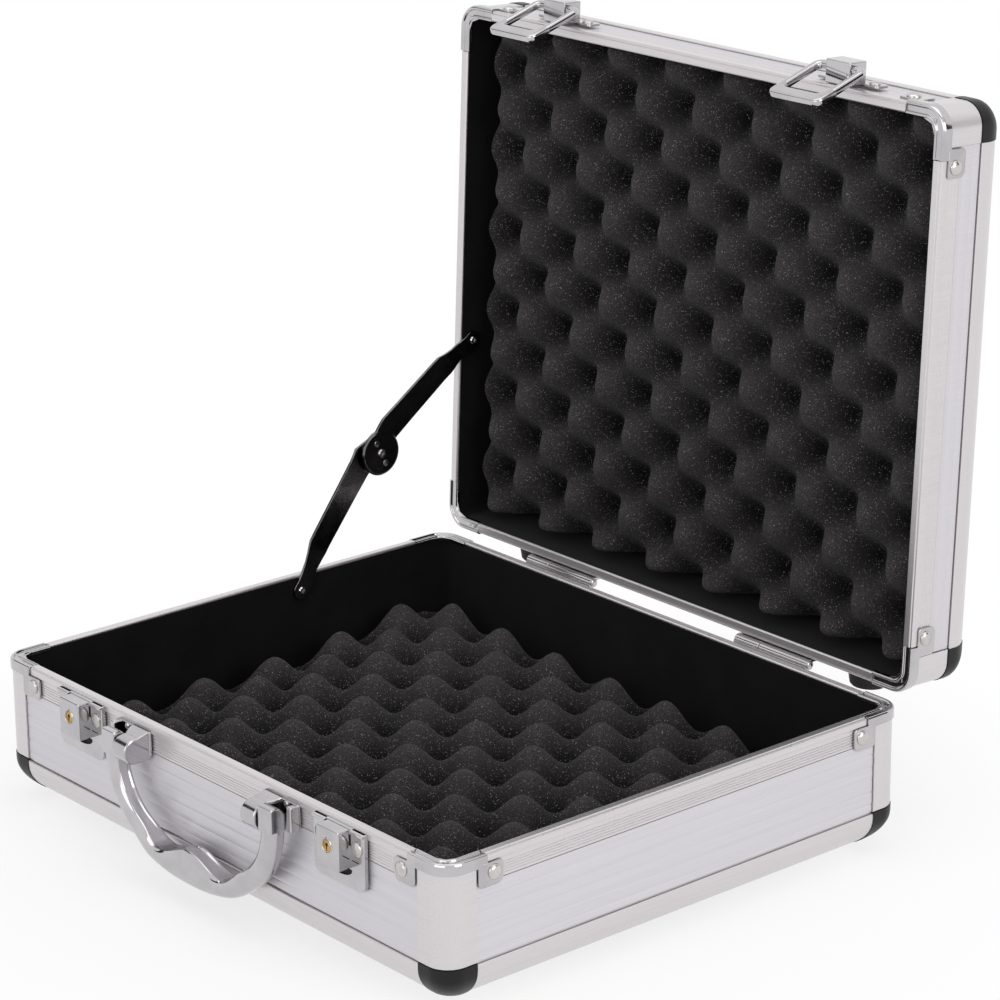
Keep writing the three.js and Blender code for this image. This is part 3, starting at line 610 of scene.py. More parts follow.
def corner_stations(cuts):
    """Stations around one corner. A cut is a distance at which the section changes to the next mode."""
    middle = [(("arc", step / ARC_STEPS * pi / 2), len(cuts)) for step in range(ARC_STEPS + 1)]
    before, after = [], []
    for mode, cut in enumerate(cuts):
        before += [(("x face", cut), mode), (("x face", cut), mode + 1)]
        after = [(("y face", cut), mode + 1), (("y face", cut), mode)] + after
    return before + middle + after


AROUND = ((1, 1), (-1, 1), (-1, -1), (1, -1))


def carried_round(profiles, cuts=()):
    """A closed profile of (inset, height) points carried right around the tub. There is one profile for
    each mode: the run between corners, then nearer to the corner after each cut."""
    loops = []
    for sx, sy in AROUND:
        stations = corner_stations(cuts)
        if sx * sy < 0:
            stations = stations[::-1]
        for station, mode in stations:
            loops.append([on_corner(d, z, station, sx, sy) for d, z in profiles[mode]])
    return loft(loops, closed=True)


def round_one_corner(profile, reach, sx, sy):
    """The profile carried around a single corner, from one face to the other, with closed ends."""
    stations = [("x face", reach)] + [station for station, _ in corner_stations(())] + [("y face", reach)]
    return loft([[on_corner(d, z, station, sx, sy) for d, z in profile] for station in stations])


print("wall at floor level lies", in_plan(0, 0)[0], "mm in")

# %% [markdown]
# ### Softened profiles
# No extrusion has a knife edge. Each point of a profile can be replaced by a short curve before it is
# carried around the tub, which costs a few faces and catches a line of light along every edge.

# %% Softened profiles
def softened(profile, radius=0.25, steps=3):
    result = []
    count = len(profile)
    for index, point in enumerate(profile):
        here = Vector(point)
        before = Vector(profile[index - 1]) - here
        after = Vector(profile[(index + 1) % count]) - here
        cut = min(radius, 0.45 * before.length, 0.45 * after.length)
        start = here + before.normalized() * cut
        end = here + after.normalized() * cut
        for step in range(steps + 1):
            t = step / steps
            spot = start * (1 - t) ** 2 + here * (2 * t * (1 - t)) + end * t ** 2
            result.append((spot.x, spot.y))
    return result


print("a softened square has", len(softened([(0, 0), (1, 0), (1, 1), (0, 1)])), "points")

# %% [markdown]
# ## Rims
# Each half ends in an extruded rim. Outside it has a plain upper band and below that a flange with five
# fine grooves. On top runs a flat face with a fine step along its outer edge, and inside a lip covers the
# edge of the lining. Near the corners the rim is cut back, to let the chrome corner lie over it.

# %% Rims
RIM_HEIGHT, BEAD_HEIGHT, BAND_HEIGHT = 12.0, 3.5, 5.0
WALL, SHELL_WALL = 4.8, 3.3
GROOVES, GROOVE_PITCH, GROOVE_DEPTH = 5, 1.15, 0.28
CHROME_REACH, POST_REACH = 21.0, 16.0


def rim_profile(top):
    flange = top - RIM_HEIGHT
    outside = [(0.5, flange + 0.4)]
    first = flange + 1.2
    for index in range(GROOVES):
        z = first + index * GROOVE_PITCH
        outside += [(0.5, z), (0.5 + GROOVE_DEPTH, z + 0.18), (0.5 + GROOVE_DEPTH, z + 0.32), (0.5, z + 0.5)]
    outside += [
        (0.5, top - BEAD_HEIGHT - 0.35), (0.0, top - BEAD_HEIGHT), (0.0, top - 1.0), (0.35, top - 0.55),
        (1.15, top - 0.55), (1.25, top - 0.05), (1.6, top), (4.2, top), (WALL, top - 0.5), (WALL, top - 1.2),
        (SHELL_WALL, top - 1.3), (SHELL_WALL, flange), (0.7, flange),
    ]
    return softened(outside, 0.14, 2)


for half, data in HALVES.items():
    top = data["height"]
    plain = rim_profile(top)
    under_chrome = [(max(d, 0.6), min(z, top - 1.5)) for d, z in plain]
    by_post = [(max(d, 1.9) if z < top - BAND_HEIGHT else d, z) for d, z in under_chrome]
    ring = carried_round((plain, under_chrome, by_post), (CHROME_REACH + FIT, POST_REACH + FIT))
    set_down(half + "_rim_extrusion", [ring], "aluminium", half, half + "_rim", PLACES[half], crisp=38)
print("rim profile has", len(plain), "points")

# %% [markdown]
# ## Edge frames
# The long edges under the walls are large quarter-round extrusions. Their outside is the tub itself, so
# the profile only lists heights. A narrow step along the top edge leaves the dark line that shows between
# the frame and the ribbed wall.

# %% Edge frames
FRAME_STEPS, FRAME_GAP = 14, 0.45


def curved_in(inset):
    """Heights at which a wall of this inset is cut, from the floor up to the upright part."""
    turns = [pi / 2 * step / FRAME_STEPS for step in range(FRAME_STEPS + 1)]
    return [(inset, EDGE_ROUND - (EDGE_ROUND - inset) * cos(angle)) for angle in turns]


def edge_profile(edge):
    gap = edge - FRAME_GAP
    outside = [(0.0, gap - 0.3), (0.0, gap - 1.0)] + curved_in(0.0)[::-1]
    step = [(SHELL_WALL, edge - 0.2), (1.4, edge - 0.2), (1.3, gap), (0.35, gap)]
    return outside + curved_in(SHELL_WALL) + step


for half, data in HALVES.items():
    ring = carried_round((edge_profile(data["edge"]),))
    name = half + "_edge_extrusion"
    set_down(name, [ring], "aluminium", half, half + "_edge_frame", PLACES[half], crisp=40)
print("edge frames made, heights", [data["edge"] for data in HALVES.values()])

# %% [markdown]
# ## Ribbed walls
# The walls are thin sheet with raised ribs on a board. The ribs lie 5.6 mm apart, each with a light crown
# and a narrow groove below it. A profile in depth and height, pulled along the wall, gives them as real
# geometry, so the grooves still show when the light changes.

# %% Ribbed walls
RIB_PITCH, RIB_DEPTH, RIB_CROWN = 5.6, 0.16, 0.06
PANEL_INSET = 0.8


def ribbed_line(low, high):
    """Points (inset, position) of a ribbed face between two positions."""
    line = [(PANEL_INSET, low)]
    position = low + RIB_PITCH * 0.6
    while position < high - 1.2:
        line += [
            (PANEL_INSET, position - 0.55), (PANEL_INSET + RIB_DEPTH, position - 0.12),
            (PANEL_INSET + RIB_DEPTH, position + 0.12), (PANEL_INSET - RIB_CROWN, position + 0.75),
            (PANEL_INSET - RIB_CROWN, position + 2.2),
        ]
        position += RIB_PITCH
    return line + [(PANEL_INSET, high)]


def wall_panel(face, side, low, high):
    reach = POST_REACH + FIT
    section = ribbed_line(low, high) + [(SHELL_WALL, high), (SHELL_WALL, low)]
    if face == "y":
        ends = (-HALF_WIDTH + reach, HALF_WIDTH - reach)
        return loft([[(x, side * (HALF_DEPTH - d), z) for d, z in section] for x in ends])
    ends = (-HALF_DEPTH + reach, HALF_DEPTH - reach)
    return loft([[(side * (HALF_WIDTH - d), y, z) for d, z in section] for y in ends])


WALLS = {"front": ("y", -1), "back": ("y", 1), "left": ("x", -1), "right": ("x", 1)}
base_low, base_high = HALVES["base"]["edge"] + FIT, HALVES["base"]["height"] - RIM_HEIGHT - FIT
for wall_name, (face, side) in WALLS.items():
    node = "base_" + wall_name + "_panel"
    set_down("base_ribbed_" + wall_name, [wall_panel(face, side, base_low, base_high)], "ribbed_panel",
             "base", node, crisp=24)
lid_low, lid_high = HALVES["lid"]["edge"] + FIT, HALVES["lid"]["height"] - RIM_HEIGHT - FIT
lid_walls = [wall_panel(face, side, lid_low, lid_high) for face, side in WALLS.values()]
set_down("lid_ribbed_band", lid_walls, "ribbed_panel", "lid", "lid_side_band", PLACES["lid"], crisp=24)
print("ribs on a base wall:", int((base_high - base_low) / RIB_PITCH))

# %% [markdown]
# ## Floor and top panels
# The large outer faces are the same ribbed sheet, laid between the edge frames with the ribs along the
# width.

# %% Floor and top panels
for half, data in HALVES.items():
    reach_x = HALF_WIDTH - EDGE_REACH - FIT
    reach_y = HALF_DEPTH - EDGE_REACH - FIT
    line = [(d - PANEL_INSET + RIB_CROWN, y) for d, y in ribbed_line(-reach_y, reach_y)]
    section = line + [(SHELL_WALL, reach_y), (SHELL_WALL, -reach_y)]
    panel = loft([[(x, y, z) for z, y in section] for x in (-reach_x, reach_x)])
    set_down(half + "_ribbed_sheet", [panel], "ribbed_panel", half, data["floor"], PLACES[half], crisp=24)
print("floor panel is", round(2 * reach_x), "by", round(2 * reach_y), "mm")

# %% [markdown]
# ## Corner posts and black caps
# A quarter-round aluminium post covers each upright corner. Below it, where three rounded edges meet, sits
# a moulded black cap. The cap is the piece of the tub within 16 mm of both faces: a grid of levels, each
# clipped to that square, then thickened. It stands 0.3 mm proud, as a cap pressed over metal does.

# %% Corner posts
POST_WALL = 1.6


def each_corner():
    """Every corner of both halves: the half, its sizes, the corner's name and its signs."""
    for half, data in HALVES.items():
        for sx, side in ((-1, "left"), (1, "right")):
            for sy in (-1, 1):
                yield half, data, ("front_" if sy == data["front"] else "back_") + side, sx, sy


for half, data, label, sx, sy in each_corner():
    low, high = data["edge"] + FIT, data["height"] - BAND_HEIGHT + 0.4
    profile = softened([(0.0, low), (POST_WALL, low), (POST_WALL, high), (0.0, high)], 0.3)
    post, node = round_one_corner(profile, POST_REACH, sx, sy), half + "_corner_post_" + label
    set_down(half + "_post_" + label, [post], "aluminium", half, node, PLACES[half], crisp=40)
print("posts reach", POST_REACH, "mm from each corner")

# %% Black corner caps
CAP_PROUD, CAP_WALL, CAP_LEVELS = 0.3, 1.6, 14
CAP_LOW_SHARE = 0.53


def cap_row(share, height, stand):
    """One level of the cap, clipped to the square within POST_REACH of both outer faces."""
    off = (1 - share) * EDGE_REACH - stand
    radius = share * CORNER_RADIUS + stand
    centre_x, centre_y = HALF_WIDTH - off - radius, HALF_DEPTH - off - radius
    limit = (off + radius - POST_REACH) / radius
    first = asin(limit) if limit > 0 else 0.0
    last = pi / 2 - first
    row = []
    for step in range(ARC_STEPS + 1):
        angle = first + (last - first) * step / ARC_STEPS
        row.append((centre_x + radius * cos(angle), centre_y + radius * sin(angle), height))
    start, end = list(row[0]), list(row[-1])
    if limit < 0:
        start[1] = HALF_DEPTH - POST_REACH
        end[0] = HALF_WIDTH - POST_REACH
    return [tuple(start)] + row + [tuple(end)]


def cap_shell(edge, sx, sy):
    sheets = []
    for stand in (CAP_PROUD, CAP_PROUD - CAP_WALL):
        rows = [cap_row(1.0, edge + 0.15, stand)]
        for level in range(CAP_LEVELS + 1):
            share = 1 - (1 - CAP_LOW_SHARE) * (level / CAP_LEVELS) ** 1.6
            drop = (EDGE_ROUND + min(stand, 0) * 0.5 + max(stand, 0)) * sqrt(1 - share * share)
            rows.append(cap_row(share, EDGE_ROUND - drop, stand))
        sheets.append(rows)
    return flipped(loft([outer + inner[::-1] for outer, inner in zip(*sheets)]), sx, sy)


for half, data, label, sx, sy in each_corner():
    cap, node = cap_shell(data["edge"], sx, sy), half + "_corner_cap_" + label
    set_down(half + "_cap_" + label, [cap], "corner_plastic", half, node, PLACES[half], crisp=50)
print("caps have", CAP_LEVELS, "levels")

# %% [markdown]
# ## Chrome corners
# A pressed chrome corner ties the rim together. A band folds over the top in two rounded ridges with a
# channel between, a small gusset fills the inside, and a tab with a domed rivet holds it on each face. The
# band is a profile carried around the corner, and the tabs are stamped plates.

# %% Domed rivets
DOME_STEPS, DOME_LIP, DOME_SHANK = 6, 0.25, 0.6


def dome(radius, height, at, towards, sides=28):
    shank = [(0, -DOME_SHANK), (radius * 0.96, -DOME_SHANK), (radius, 0)]
    curve = arc((0, DOME_LIP), (radius, height), 0, pi / 2, DOME_STEPS)[:-1]
    return turned(shank + curve + [(0, DOME_LIP + height)], at, towards, sides)


print("a dome has", DOME_STEPS, "steps from its foot to its top")

# %% Chrome corners
CHROME_OUT, CHROME_IN = -0.8, 0.25
TAB_THICK, TAB_PROUD = 1.0, 0.04
TAB_REACH, TAB_HEIGHT, TAB_ROUND = 28.8, 13.6, 3.0
RIVET_FROM_CORNER, RIVET_DROP, RIVET_RADIUS, RIVET_CROWN = 24.3, 8.0, 3.2, 1.3
GUSSET_AT, GUSSET = 4.6, 7.5


def chrome_profile(top):
    return softened([
        (CHROME_OUT, top - BAND_HEIGHT), (CHROME_OUT, top - 1.1), (-0.35, top - 0.25), (0.3, top),
        (0.85, top - 0.1), (1.25, top - 0.95), (3.55, top - 0.95), (3.9, top - 0.15), (4.4, top),
        (4.9, top - 0.2), (5.2, top - 0.8), (5.2, top - 2.2), (4.95, top - 2.2), (4.9, top - 1.2),
        (CHROME_IN, top - 1.2), (CHROME_IN, top - BAND_HEIGHT),
    ], 0.3, 3)


def chrome_tab(top, face, sx, sy):
    outline = rounded(
        -TAB_REACH, -POST_REACH - 0.5, top - TAB_HEIGHT, top - BEAD_HEIGHT - 0.2,
        (TAB_ROUND, 2.2, 0, 1.4),
    )
    back = TAB_THICK + CHROME_OUT - TAB_PROUD
    if face == "y face":
        spread = [(HALF_WIDTH + u, v) for u, v in outline]
        return flipped(plate([spread], TAB_THICK, "front", back - HALF_DEPTH, edge=0.25), sx, -sy)
    spread = [(HALF_DEPTH + u, v) for u, v in outline]
    return flipped(plate([spread], TAB_THICK, "side", HALF_WIDTH - back, edge=0.25), sx, sy)


def chrome_gusset(top, sx, sy):
    near, far, dip, tip = GUSSET_AT, GUSSET_AT + GUSSET, GUSSET_AT + 2.4, 0.6
    arm = [(near, near), (far, near), (far - tip, near + tip)]
    outline = arm + [(dip, dip)] + [(v, u) for u, v in arm[:0:-1]]
    outline = [(HALF_WIDTH - u, HALF_DEPTH - v) for u, v in outline]
    return flipped(plate([outline], 0.9, "up", top - 1.5, edge=0.12), sx, sy)


for half, data, label, sx, sy in each_corner():
    top, node = data["height"], half + "_rim_corner_" + label
    parts = [round_one_corner(chrome_profile(top), CHROME_REACH, sx, sy), chrome_gusset(top, sx, sy)]
    parts += [chrome_tab(top, face, sx, sy) for face in ("x face", "y face")]
    set_down(half + "_chrome_corner_" + label, parts, "chrome", half, node, PLACES[half], crisp=38)
    spots = ((CHROME_OUT, RIVET_FROM_CORNER, (sx, 0, 0)), (RIVET_FROM_CORNER, CHROME_OUT, (0, sy, 0)))
    domes = []
    for off_x, off_y, towards in spots:
        at = (sx * (HALF_WIDTH - off_x), sy * (HALF_DEPTH - off_y), top - RIVET_DROP)
        domes.append(dome(RIVET_RADIUS, RIVET_CROWN, at, towards))
    fasten(half + "_corner_rivets_" + label, domes, half, PLACES[half])
print("chrome corners made, each with", len(spots), "rivets")

# %% [markdown]
# ## Lining
# Each half is lined with black flocked board that follows the inside of the tub. It is one loft: up the
# inside wall, over the edge under the rim's lip, and down the outside.

# %% Lining
LINING_OUT, LINING_STEPS = SHELL_WALL + FIT, 8


def tub_loop(inset, height):
    loop = []
    for sx, sy in AROUND:
        stations = [station for station, _ in corner_stations(())]
        if sx * sy < 0:
            stations = stations[::-1]
        loop += [on_corner(inset, height, station, sx, sy) for station in stations]
    return loop


def lining_loops(inset, top):
    turns = [pi / 2 * step / LINING_STEPS for step in range(LINING_STEPS + 1)]
    heights = [EDGE_ROUND - (EDGE_ROUND - inset) * cos(angle) for angle in turns]
    heights[0] += 0.01
    return [tub_loop(inset, height) for height in heights + [top]]


for half, data in HALVES.items():
    top = data["height"] - 1.5
    shell = loft(lining_loops(WALL, top) + lining_loops(LINING_OUT, top)[::-1], merged=False)
    set_down(half + "_flocked_lining", [shell], "lining", half, half + "_lining", PLACES[half])
print("lining is", round(WALL - LINING_OUT, 2), "mm thick")

# %% [markdown]
# ## Egg-crate foam
# The foam is cut on rollers, so its peaks and hollows lie on a regular slanted grid: two cosines
# multiplied. It could be sculpted, but a fine grid with a height for each point follows the real cut and
# stays light. Small noise takes off the regularity, and the underside follows the tub. The base pad is drawn
# up at its rear left corner and pushed in at its left margin, and its rear edge rolls down. Each pad
# stores its height for the foam's colour, which paints shade into the pits.

# %% Foam height
FOAM_PITCH_X, FOAM_PITCH_Y, FOAM_WAVE = 36.8, 38.4, 8.5
FOAM_STEP = 1.5
FOAM_FLOOR = WALL + FIT
FOAMS = {
    "base": {"x": (-HALF_WIDTH + 11.8, HALF_WIDTH - FOAM_FLOOR), "y": (FRONT + FOAM_FLOOR, BACK - 10.0),
             "thick": 26.2, "peak": (-20.0, -38.0), "lift": 4.5, "droop": 3.5, "push": 9.0, "roll": 9.0},
    "lid": {"x": (-HALF_WIDTH + 11.8, HALF_WIDTH - FOAM_FLOOR), "y": (-BACK + 10.0, -FRONT - FOAM_FLOOR),
            "thick": 27.5, "peak": (2.9, -17.7), "lift": 0.0, "droop": 0.0, "push": 0.0, "roll": 0.0},
}


def smooth_step(value, low, high):
    share = min(max((value - low) / (high - low), 0), 1)
    return share * share * (3 - 2 * share)


def foam_wave(pad, x, y):
    """Minus one in the hollows and one on the peaks."""
    across = cos(2 * pi * (x - pad["peak"][0]) / FOAM_PITCH_X)
    return across * cos(2 * pi * (y - pad["peak"][1]) / FOAM_PITCH_Y)


def foam_height(pad, x, y):
    wave = foam_wave(pad, x, y)
    rise = pad["lift"] * smooth_step(-x, -20, -pad["x"][0]) * smooth_step(y, -10, pad["y"][1])
    rise -= pad["droop"] * smooth_step(x, 60, pad["x"][1]) * smooth_step(y, 40, pad["y"][1])
    rise -= pad["roll"] * smooth_step(y, pad["y"][1] - 17, pad["y"][1] - 2)
    rough = 0.9 * noise.noise((x * 0.06, y * 0.06, pad["thick"]))
    rough += 0.2 * noise.noise((x * 0.4, y * 0.4, 3.0))
    return FOAM_FLOOR + pad["thick"] + FOAM_WAVE * (wave - 0.1 * wave * wave + 0.05) + rise + rough


def pushed(pad, x, y):
    """The pad's left margin is pushed in towards the front, so its waves crowd together there."""
    push = pad["push"] * smooth_step(-x, 90, 138)
    towards_back = smooth_step(y, 20, 110)
    return x + push * (1 - 1.3 * towards_back), y + 0.5 * push * towards_back


def tub_floor(x, y, inset):
    """Height of the tub's inside under a point in plan."""
    off = min(HALF_WIDTH - abs(x), HALF_DEPTH - abs(y))
    share = min(max(1 - (off - inset) / (EDGE_REACH - inset), 0), 1)
    return EDGE_ROUND - (EDGE_ROUND - inset) * sqrt(1 - share * share)


print("peaks stand", 2 * FOAM_WAVE, "mm over the hollows")


# %% Foam pads
PAD_CORNER, BORDER_DROPS = 6.0, (2.4, 0.9, 0.25)


def in_outline(pad, x, y):
    """The point moved so that the pad's corners are round."""
    (x0, x1), (y0, y1) = pad["x"], pad["y"]
    u = max(x0 + PAD_CORNER - x, x - x1 + PAD_CORNER, 0)
    v = max(y0 + PAD_CORNER - y, y - y1 + PAD_CORNER, 0)
    if u and v:
        pull = max(u, v) / hypot(u, v)
        x += (1 - pull) * u * (1 if x < (x0 + x1) / 2 else -1)
        y += (1 - pull) * v * (1 if y < (y0 + y1) / 2 else -1)
    return x, y


def foam_pad(pad):
    (x0, x1), (y0, y1) = pad["x"], pad["y"]
    columns = round((x1 - x0) / FOAM_STEP)
    rows = round((y1 - y0) / FOAM_STEP)
    places = [(i, j) for i in range(columns + 1) for j in range(rows + 1)]
    top, bottom = {}, {}
    for i, j in places:
        x, y = in_outline(pad, x0 + (x1 - x0) * i / columns, y0 + (y1 - y0) * j / rows)
        border = min(i, columns - i, j, rows - j)
        drop = BORDER_DROPS[border] if border < len(BORDER_DROPS) else 0
        top[i, j] = (*pushed(pad, x, y), foam_height(pad, x, y) - drop)
    for place, (x, y, _) in top.items():
        bottom[place] = (x, y, tub_floor(x, y, FOAM_FLOOR) + 0.05)
    above = {place: index for index, place in enumerate(places)}
    below = {place: index + len(places) for place, index in above.items()}
    faces = []
    for i in range(columns):
        for j in range(rows):
            quad = ((i, j), (i + 1, j), (i + 1, j + 1), (i, j + 1))
            faces.append([above[place] for place in quad])
            faces.append([below[place] for place in quad[::-1]])
    border = [(i, 0) for i in range(columns)] + [(columns, j) for j in range(rows)]
    border += [(i, rows) for i in range(columns, 0, -1)] + [(0, j) for j in range(rows, 0, -1)]
    for here, following in zip(border, border[1:] + border[:1]):
        faces.append([above[here], below[here], below[following], above[following]])
    return mesh_of([*top.values(), *bottom.values()], faces)


for half, pad in FOAMS.items():
    place = PLACES[half]
    piece = set_down(half + "_egg_crate", [foam_pad(pad)], "foam", half, half + "_foam", place, crisp=60)
    # The height is stored on each pad so that the foam's colour can paint shade into the pits.
    back_home = place.inverted()
    rises = []
    for point in piece.data.vertices:
        spot = back_home @ (point.co / METRE_PER_MM)
        rises.append((spot.z - FOAM_FLOOR - pad["thick"] + FOAM_WAVE) / (2 * FOAM_WAVE))
    layer = piece.data.attributes.new("rise", "FLOAT", "POINT")
    layer.data.foreach_set("value", rises)
    print(piece.name, len(piece.data.vertices), "points")

# %% [markdown]
# ## Locks
# A lock is a stamped chrome plate with rounded lower corners. A box holds the key cylinder, two folded
# lips stand beside it at the top, a crescent slot for the catch opens below it, and fine seams mark the
# sliding parts. The slots are real holes with a dark sheet behind them, which paints the shade inside the
# lock, and a thin dark strip beside the box paints the shade in the gaps next to it.

# %% Lock plates and boxes
LOCK_X, LOCK_TOP = 88.34, 63.8
LOCK_WIDTH, LOCK_HEIGHT, LOCK_PLATE = 32.0, 25.0, 1.8
BOX_WIDTH, BOX_HEIGHT, BOX_DEPTH = 14.0, 16.8, 7.7
SLOT_HALF, SLOT_DEPTH = 8, 3.3
SEAM_FROM, SEAM_TO, SEAM_LOW, SEAM_HIGH = 7.6, 12.2, 50.6, 51.05
LIP_FROM, LIP_TO, LIP_DEPTH, LIP_HEIGHT = 7.7, 15.95, 3.0, 1.6
LOCK_RIVET_AT, LOCK_RIVET_Z = 11.4, 56.6
KEY_Z = LOCK_TOP - 7.6


def lock_parts(x):
    low = LOCK_TOP - LOCK_HEIGHT
    box_low = LOCK_TOP - BOX_HEIGHT
    outline = rounded(x - LOCK_WIDTH / 2, x + LOCK_WIDTH / 2, low, LOCK_TOP, (4, 4, 0.4, 0.4))
    crescent = arc((x, box_low - 0.6), (SLOT_HALF, SLOT_DEPTH), pi, pi, 16)
    cuts = [crescent + [(x + 7.6, box_low - 0.2), (x - 7.6, box_low - 0.2)]]
    half = BOX_WIDTH / 2
    box = block(x - half, x + half, FRONT - BOX_DEPTH, FRONT, box_low, LOCK_TOP - FIT, 0.7, 3)
    lips = []
    for side in (-1, 1):
        u0, u1 = sorted((x + side * SEAM_FROM, x + side * SEAM_TO))
        cuts.append([(u0, SEAM_LOW), (u1, SEAM_LOW), (u1, SEAM_HIGH), (u0, SEAM_HIGH)])
        ends = sorted((x + side * LIP_FROM, x + side * LIP_TO))
        lips.append(block(*ends, FRONT - LIP_DEPTH, FRONT, LOCK_TOP - LIP_HEIGHT, LOCK_TOP, 0.4, 3))
    return [plate([outline] + cuts, LOCK_PLATE, "front", FRONT, edge=0.18), box] + lips


for label, side in SIDES:
    x = side * LOCK_X
    set_down("lock_" + label, lock_parts(x), "chrome", "base", "lock_body_" + label, crisp=34)
    # Painted shade: a dark sheet behind the slots and a dark strip just wider than the box.
    shade_behind_slots = block(x - 13, x + 13, FRONT - 0.5, FRONT, LOCK_TOP - 23, LOCK_TOP - 8)
    shadow = block(x - 7.6, x + 7.6, FRONT - 1.9, FRONT, LOCK_TOP - 7, LOCK_TOP - 0.5)
    set_down("lock_shadow_" + label, [shade_behind_slots, shadow], "deep_shadow", "base")
    spots = [(x + step, FRONT - LOCK_PLATE, LOCK_RIVET_Z) for step in (-LOCK_RIVET_AT, LOCK_RIVET_AT)]
    fasten("lock_rivets_" + label, [dome(3.2, 1.0, spot, (0, -1, 0)) for spot in spots], "base")
print("locks stand at x", -LOCK_X, LOCK_X)

# %% [markdown]
# ## Key cylinders
# The brass cylinder turns in the box on its own axis. It is turned metal with a raised rim, and its
# keyway is a dark bar with a short slit below, a thin dark mark on its face that paints the shade in the
# keyhole.

# %% Key cylinders
BARREL = [(0, -6.0), (2.5, -6.0), (2.6, -5.7), (2.6, 0.15), (2.4, 0.4), (2.05, 0.4), (1.9, 0.05), (0, 0.05)]
COLLAR = [(2.7, -0.4), (3.45, -0.4), (3.45, 0.05), (3.2, 0.28), (2.9, 0.28), (2.7, 0.1), (2.7, -0.4)]
for label, side in SIDES:
    x, face = side * LOCK_X, FRONT - BOX_DEPTH
    at = (x, face, KEY_Z)
    body = "lock_cylinder_" + label
    set_down("key_cylinder_" + label, [turned(BARREL, at, (0, -1, 0))], "brass", body, body)
    # Painted shade: a thin dark bar and slit on the face stand for the dark keyhole.
    keyhole_shade = [
        rod(0.8, (x, face + 0.3, KEY_Z + 0.5), (0, -1, 0), 0.42, 0.05),
        block(x - 0.3, x + 0.3, face - 0.12, face + 0.5, KEY_Z - 1.6, KEY_Z + 0.6, 0.05),
    ]
    set_down("keyway_" + label, keyhole_shade, "deep_shadow", body)
    set_down("key_collar_" + label, [turned(COLLAR, at, (0, -1, 0))], "chrome", "base")
print("key cylinders turn at height", KEY_Z)

# %% [markdown]
# ## Handle brackets
# Each end of the handle turns on a pin. A thick inner cheek with a round front carries the pin, and a short
# flange shields the outer side. The top of the bracket is a wedge: wide over the cheek, and cut back behind
# the head of the handle, where a screw shows. The left bracket is the mirror image of the right one.

# %% Handle brackets
HANDLE_SPAN, HANDLE_Y, HANDLE_Z = 53.8, FRONT - 8.0, 55.4
LEG_WIDTH, LEG_DEPTH = 4.4, 4.0
LEG_ROOM, INNER_CHEEK, OUTER_CHEEK, CHEEK_ROUND = 5.0, 9.2, 3.1, 5.6
BRACKET_TOP, BRACKET_LOW = 62.4, 51.4
HOOD_DEPTH, HOOD_FALL = 6.6, 0.26
PIN_RADIUS = 2.5
SCREW = [(0, 0), (1.35, 0), (1.35, 0.4), (1.05, 0.7), (0.5, 0.7), (0.4, 0.3), (0, 0.3)]
BRACKET_IN, BRACKET_OUT = -LEG_ROOM - INNER_CHEEK, LEG_ROOM + OUTER_CHEEK


def bracket_parts():
    cheek = [(FRONT, 61.6), (FRONT - 2.4, 61.6), (FRONT - 6.4, 61.0)]
    cheek += arc((HANDLE_Y, HANDLE_Z), (CHEEK_ROUND, CHEEK_ROUND), pi / 2, pi, 16)
    cheek.append((FRONT, HANDLE_Z - CHEEK_ROUND))
    parts = [plate([cheek], INNER_CHEEK, "side", BRACKET_IN, edge=0.9, steps=4)]
    back = rounded(BRACKET_IN - 0.6, BRACKET_OUT, BRACKET_LOW, BRACKET_TOP, (0.8, 0.8, 0.8, 0.8))
    parts.append(plate([back], 1.2, "front", FRONT, edge=0.3))
    parts.append(block(LEG_ROOM, BRACKET_OUT, FRONT - 5.0, FRONT, BRACKET_LOW, BRACKET_TOP - 0.2, 0.7, 3))
    wedge = [
        (BRACKET_IN, FRONT), (-2.4, FRONT), (-3.2, FRONT - 3.2), (-LEG_ROOM - 0.6, FRONT - HOOD_DEPTH),
        (BRACKET_IN, FRONT - HOOD_DEPTH),
    ]
    hood = plate([softened(wedge, 0.8)], 1.5, "up", BRACKET_TOP - 1.5, edge=0.35, steps=3)
    for corner in hood.verts:
        corner.co.z -= HOOD_FALL * max(FRONT - 1.2 - corner.co.y, 0)
    pin_at = (BRACKET_IN + 0.3, HANDLE_Y, HANDLE_Z)
    return parts + [hood, rod(PIN_RADIUS, pin_at, (1, 0, 0), LEG_WIDTH - BRACKET_IN - 0.5, 0.3)]


for label, side in SIDES:
    there = Matrix.Translation((side * HANDLE_SPAN, 0, 0)) @ Matrix.Diagonal((side, 1, 1, 1))
    name = "bracket_" + label
    set_down(name, bracket_parts(), "chrome", "base", "handle_bracket_" + label, there, crisp=34)
    screw = turned(SCREW, (0.6, FRONT - 1.15, HANDLE_Z + 5.5), (0, -1, 0))
    fasten("bracket_screw_" + label, [screw], "base", there)
print("handle pins are", 2 * HANDLE_SPAN, "mm apart")

# %% [markdown]
# ## Handle
# The handle is one casting. Its centre line is a squared half ellipse from pin to pin. The section has a
# rounded outside, a convex front and a crisp inner ridge. On the inside of the grip a hump stands between
# two hollows for the fingers, while the outside runs smoothly. A loft of many sections follows all of that,
# which a subdivided cube could not do as evenly. A square head tops each leg.

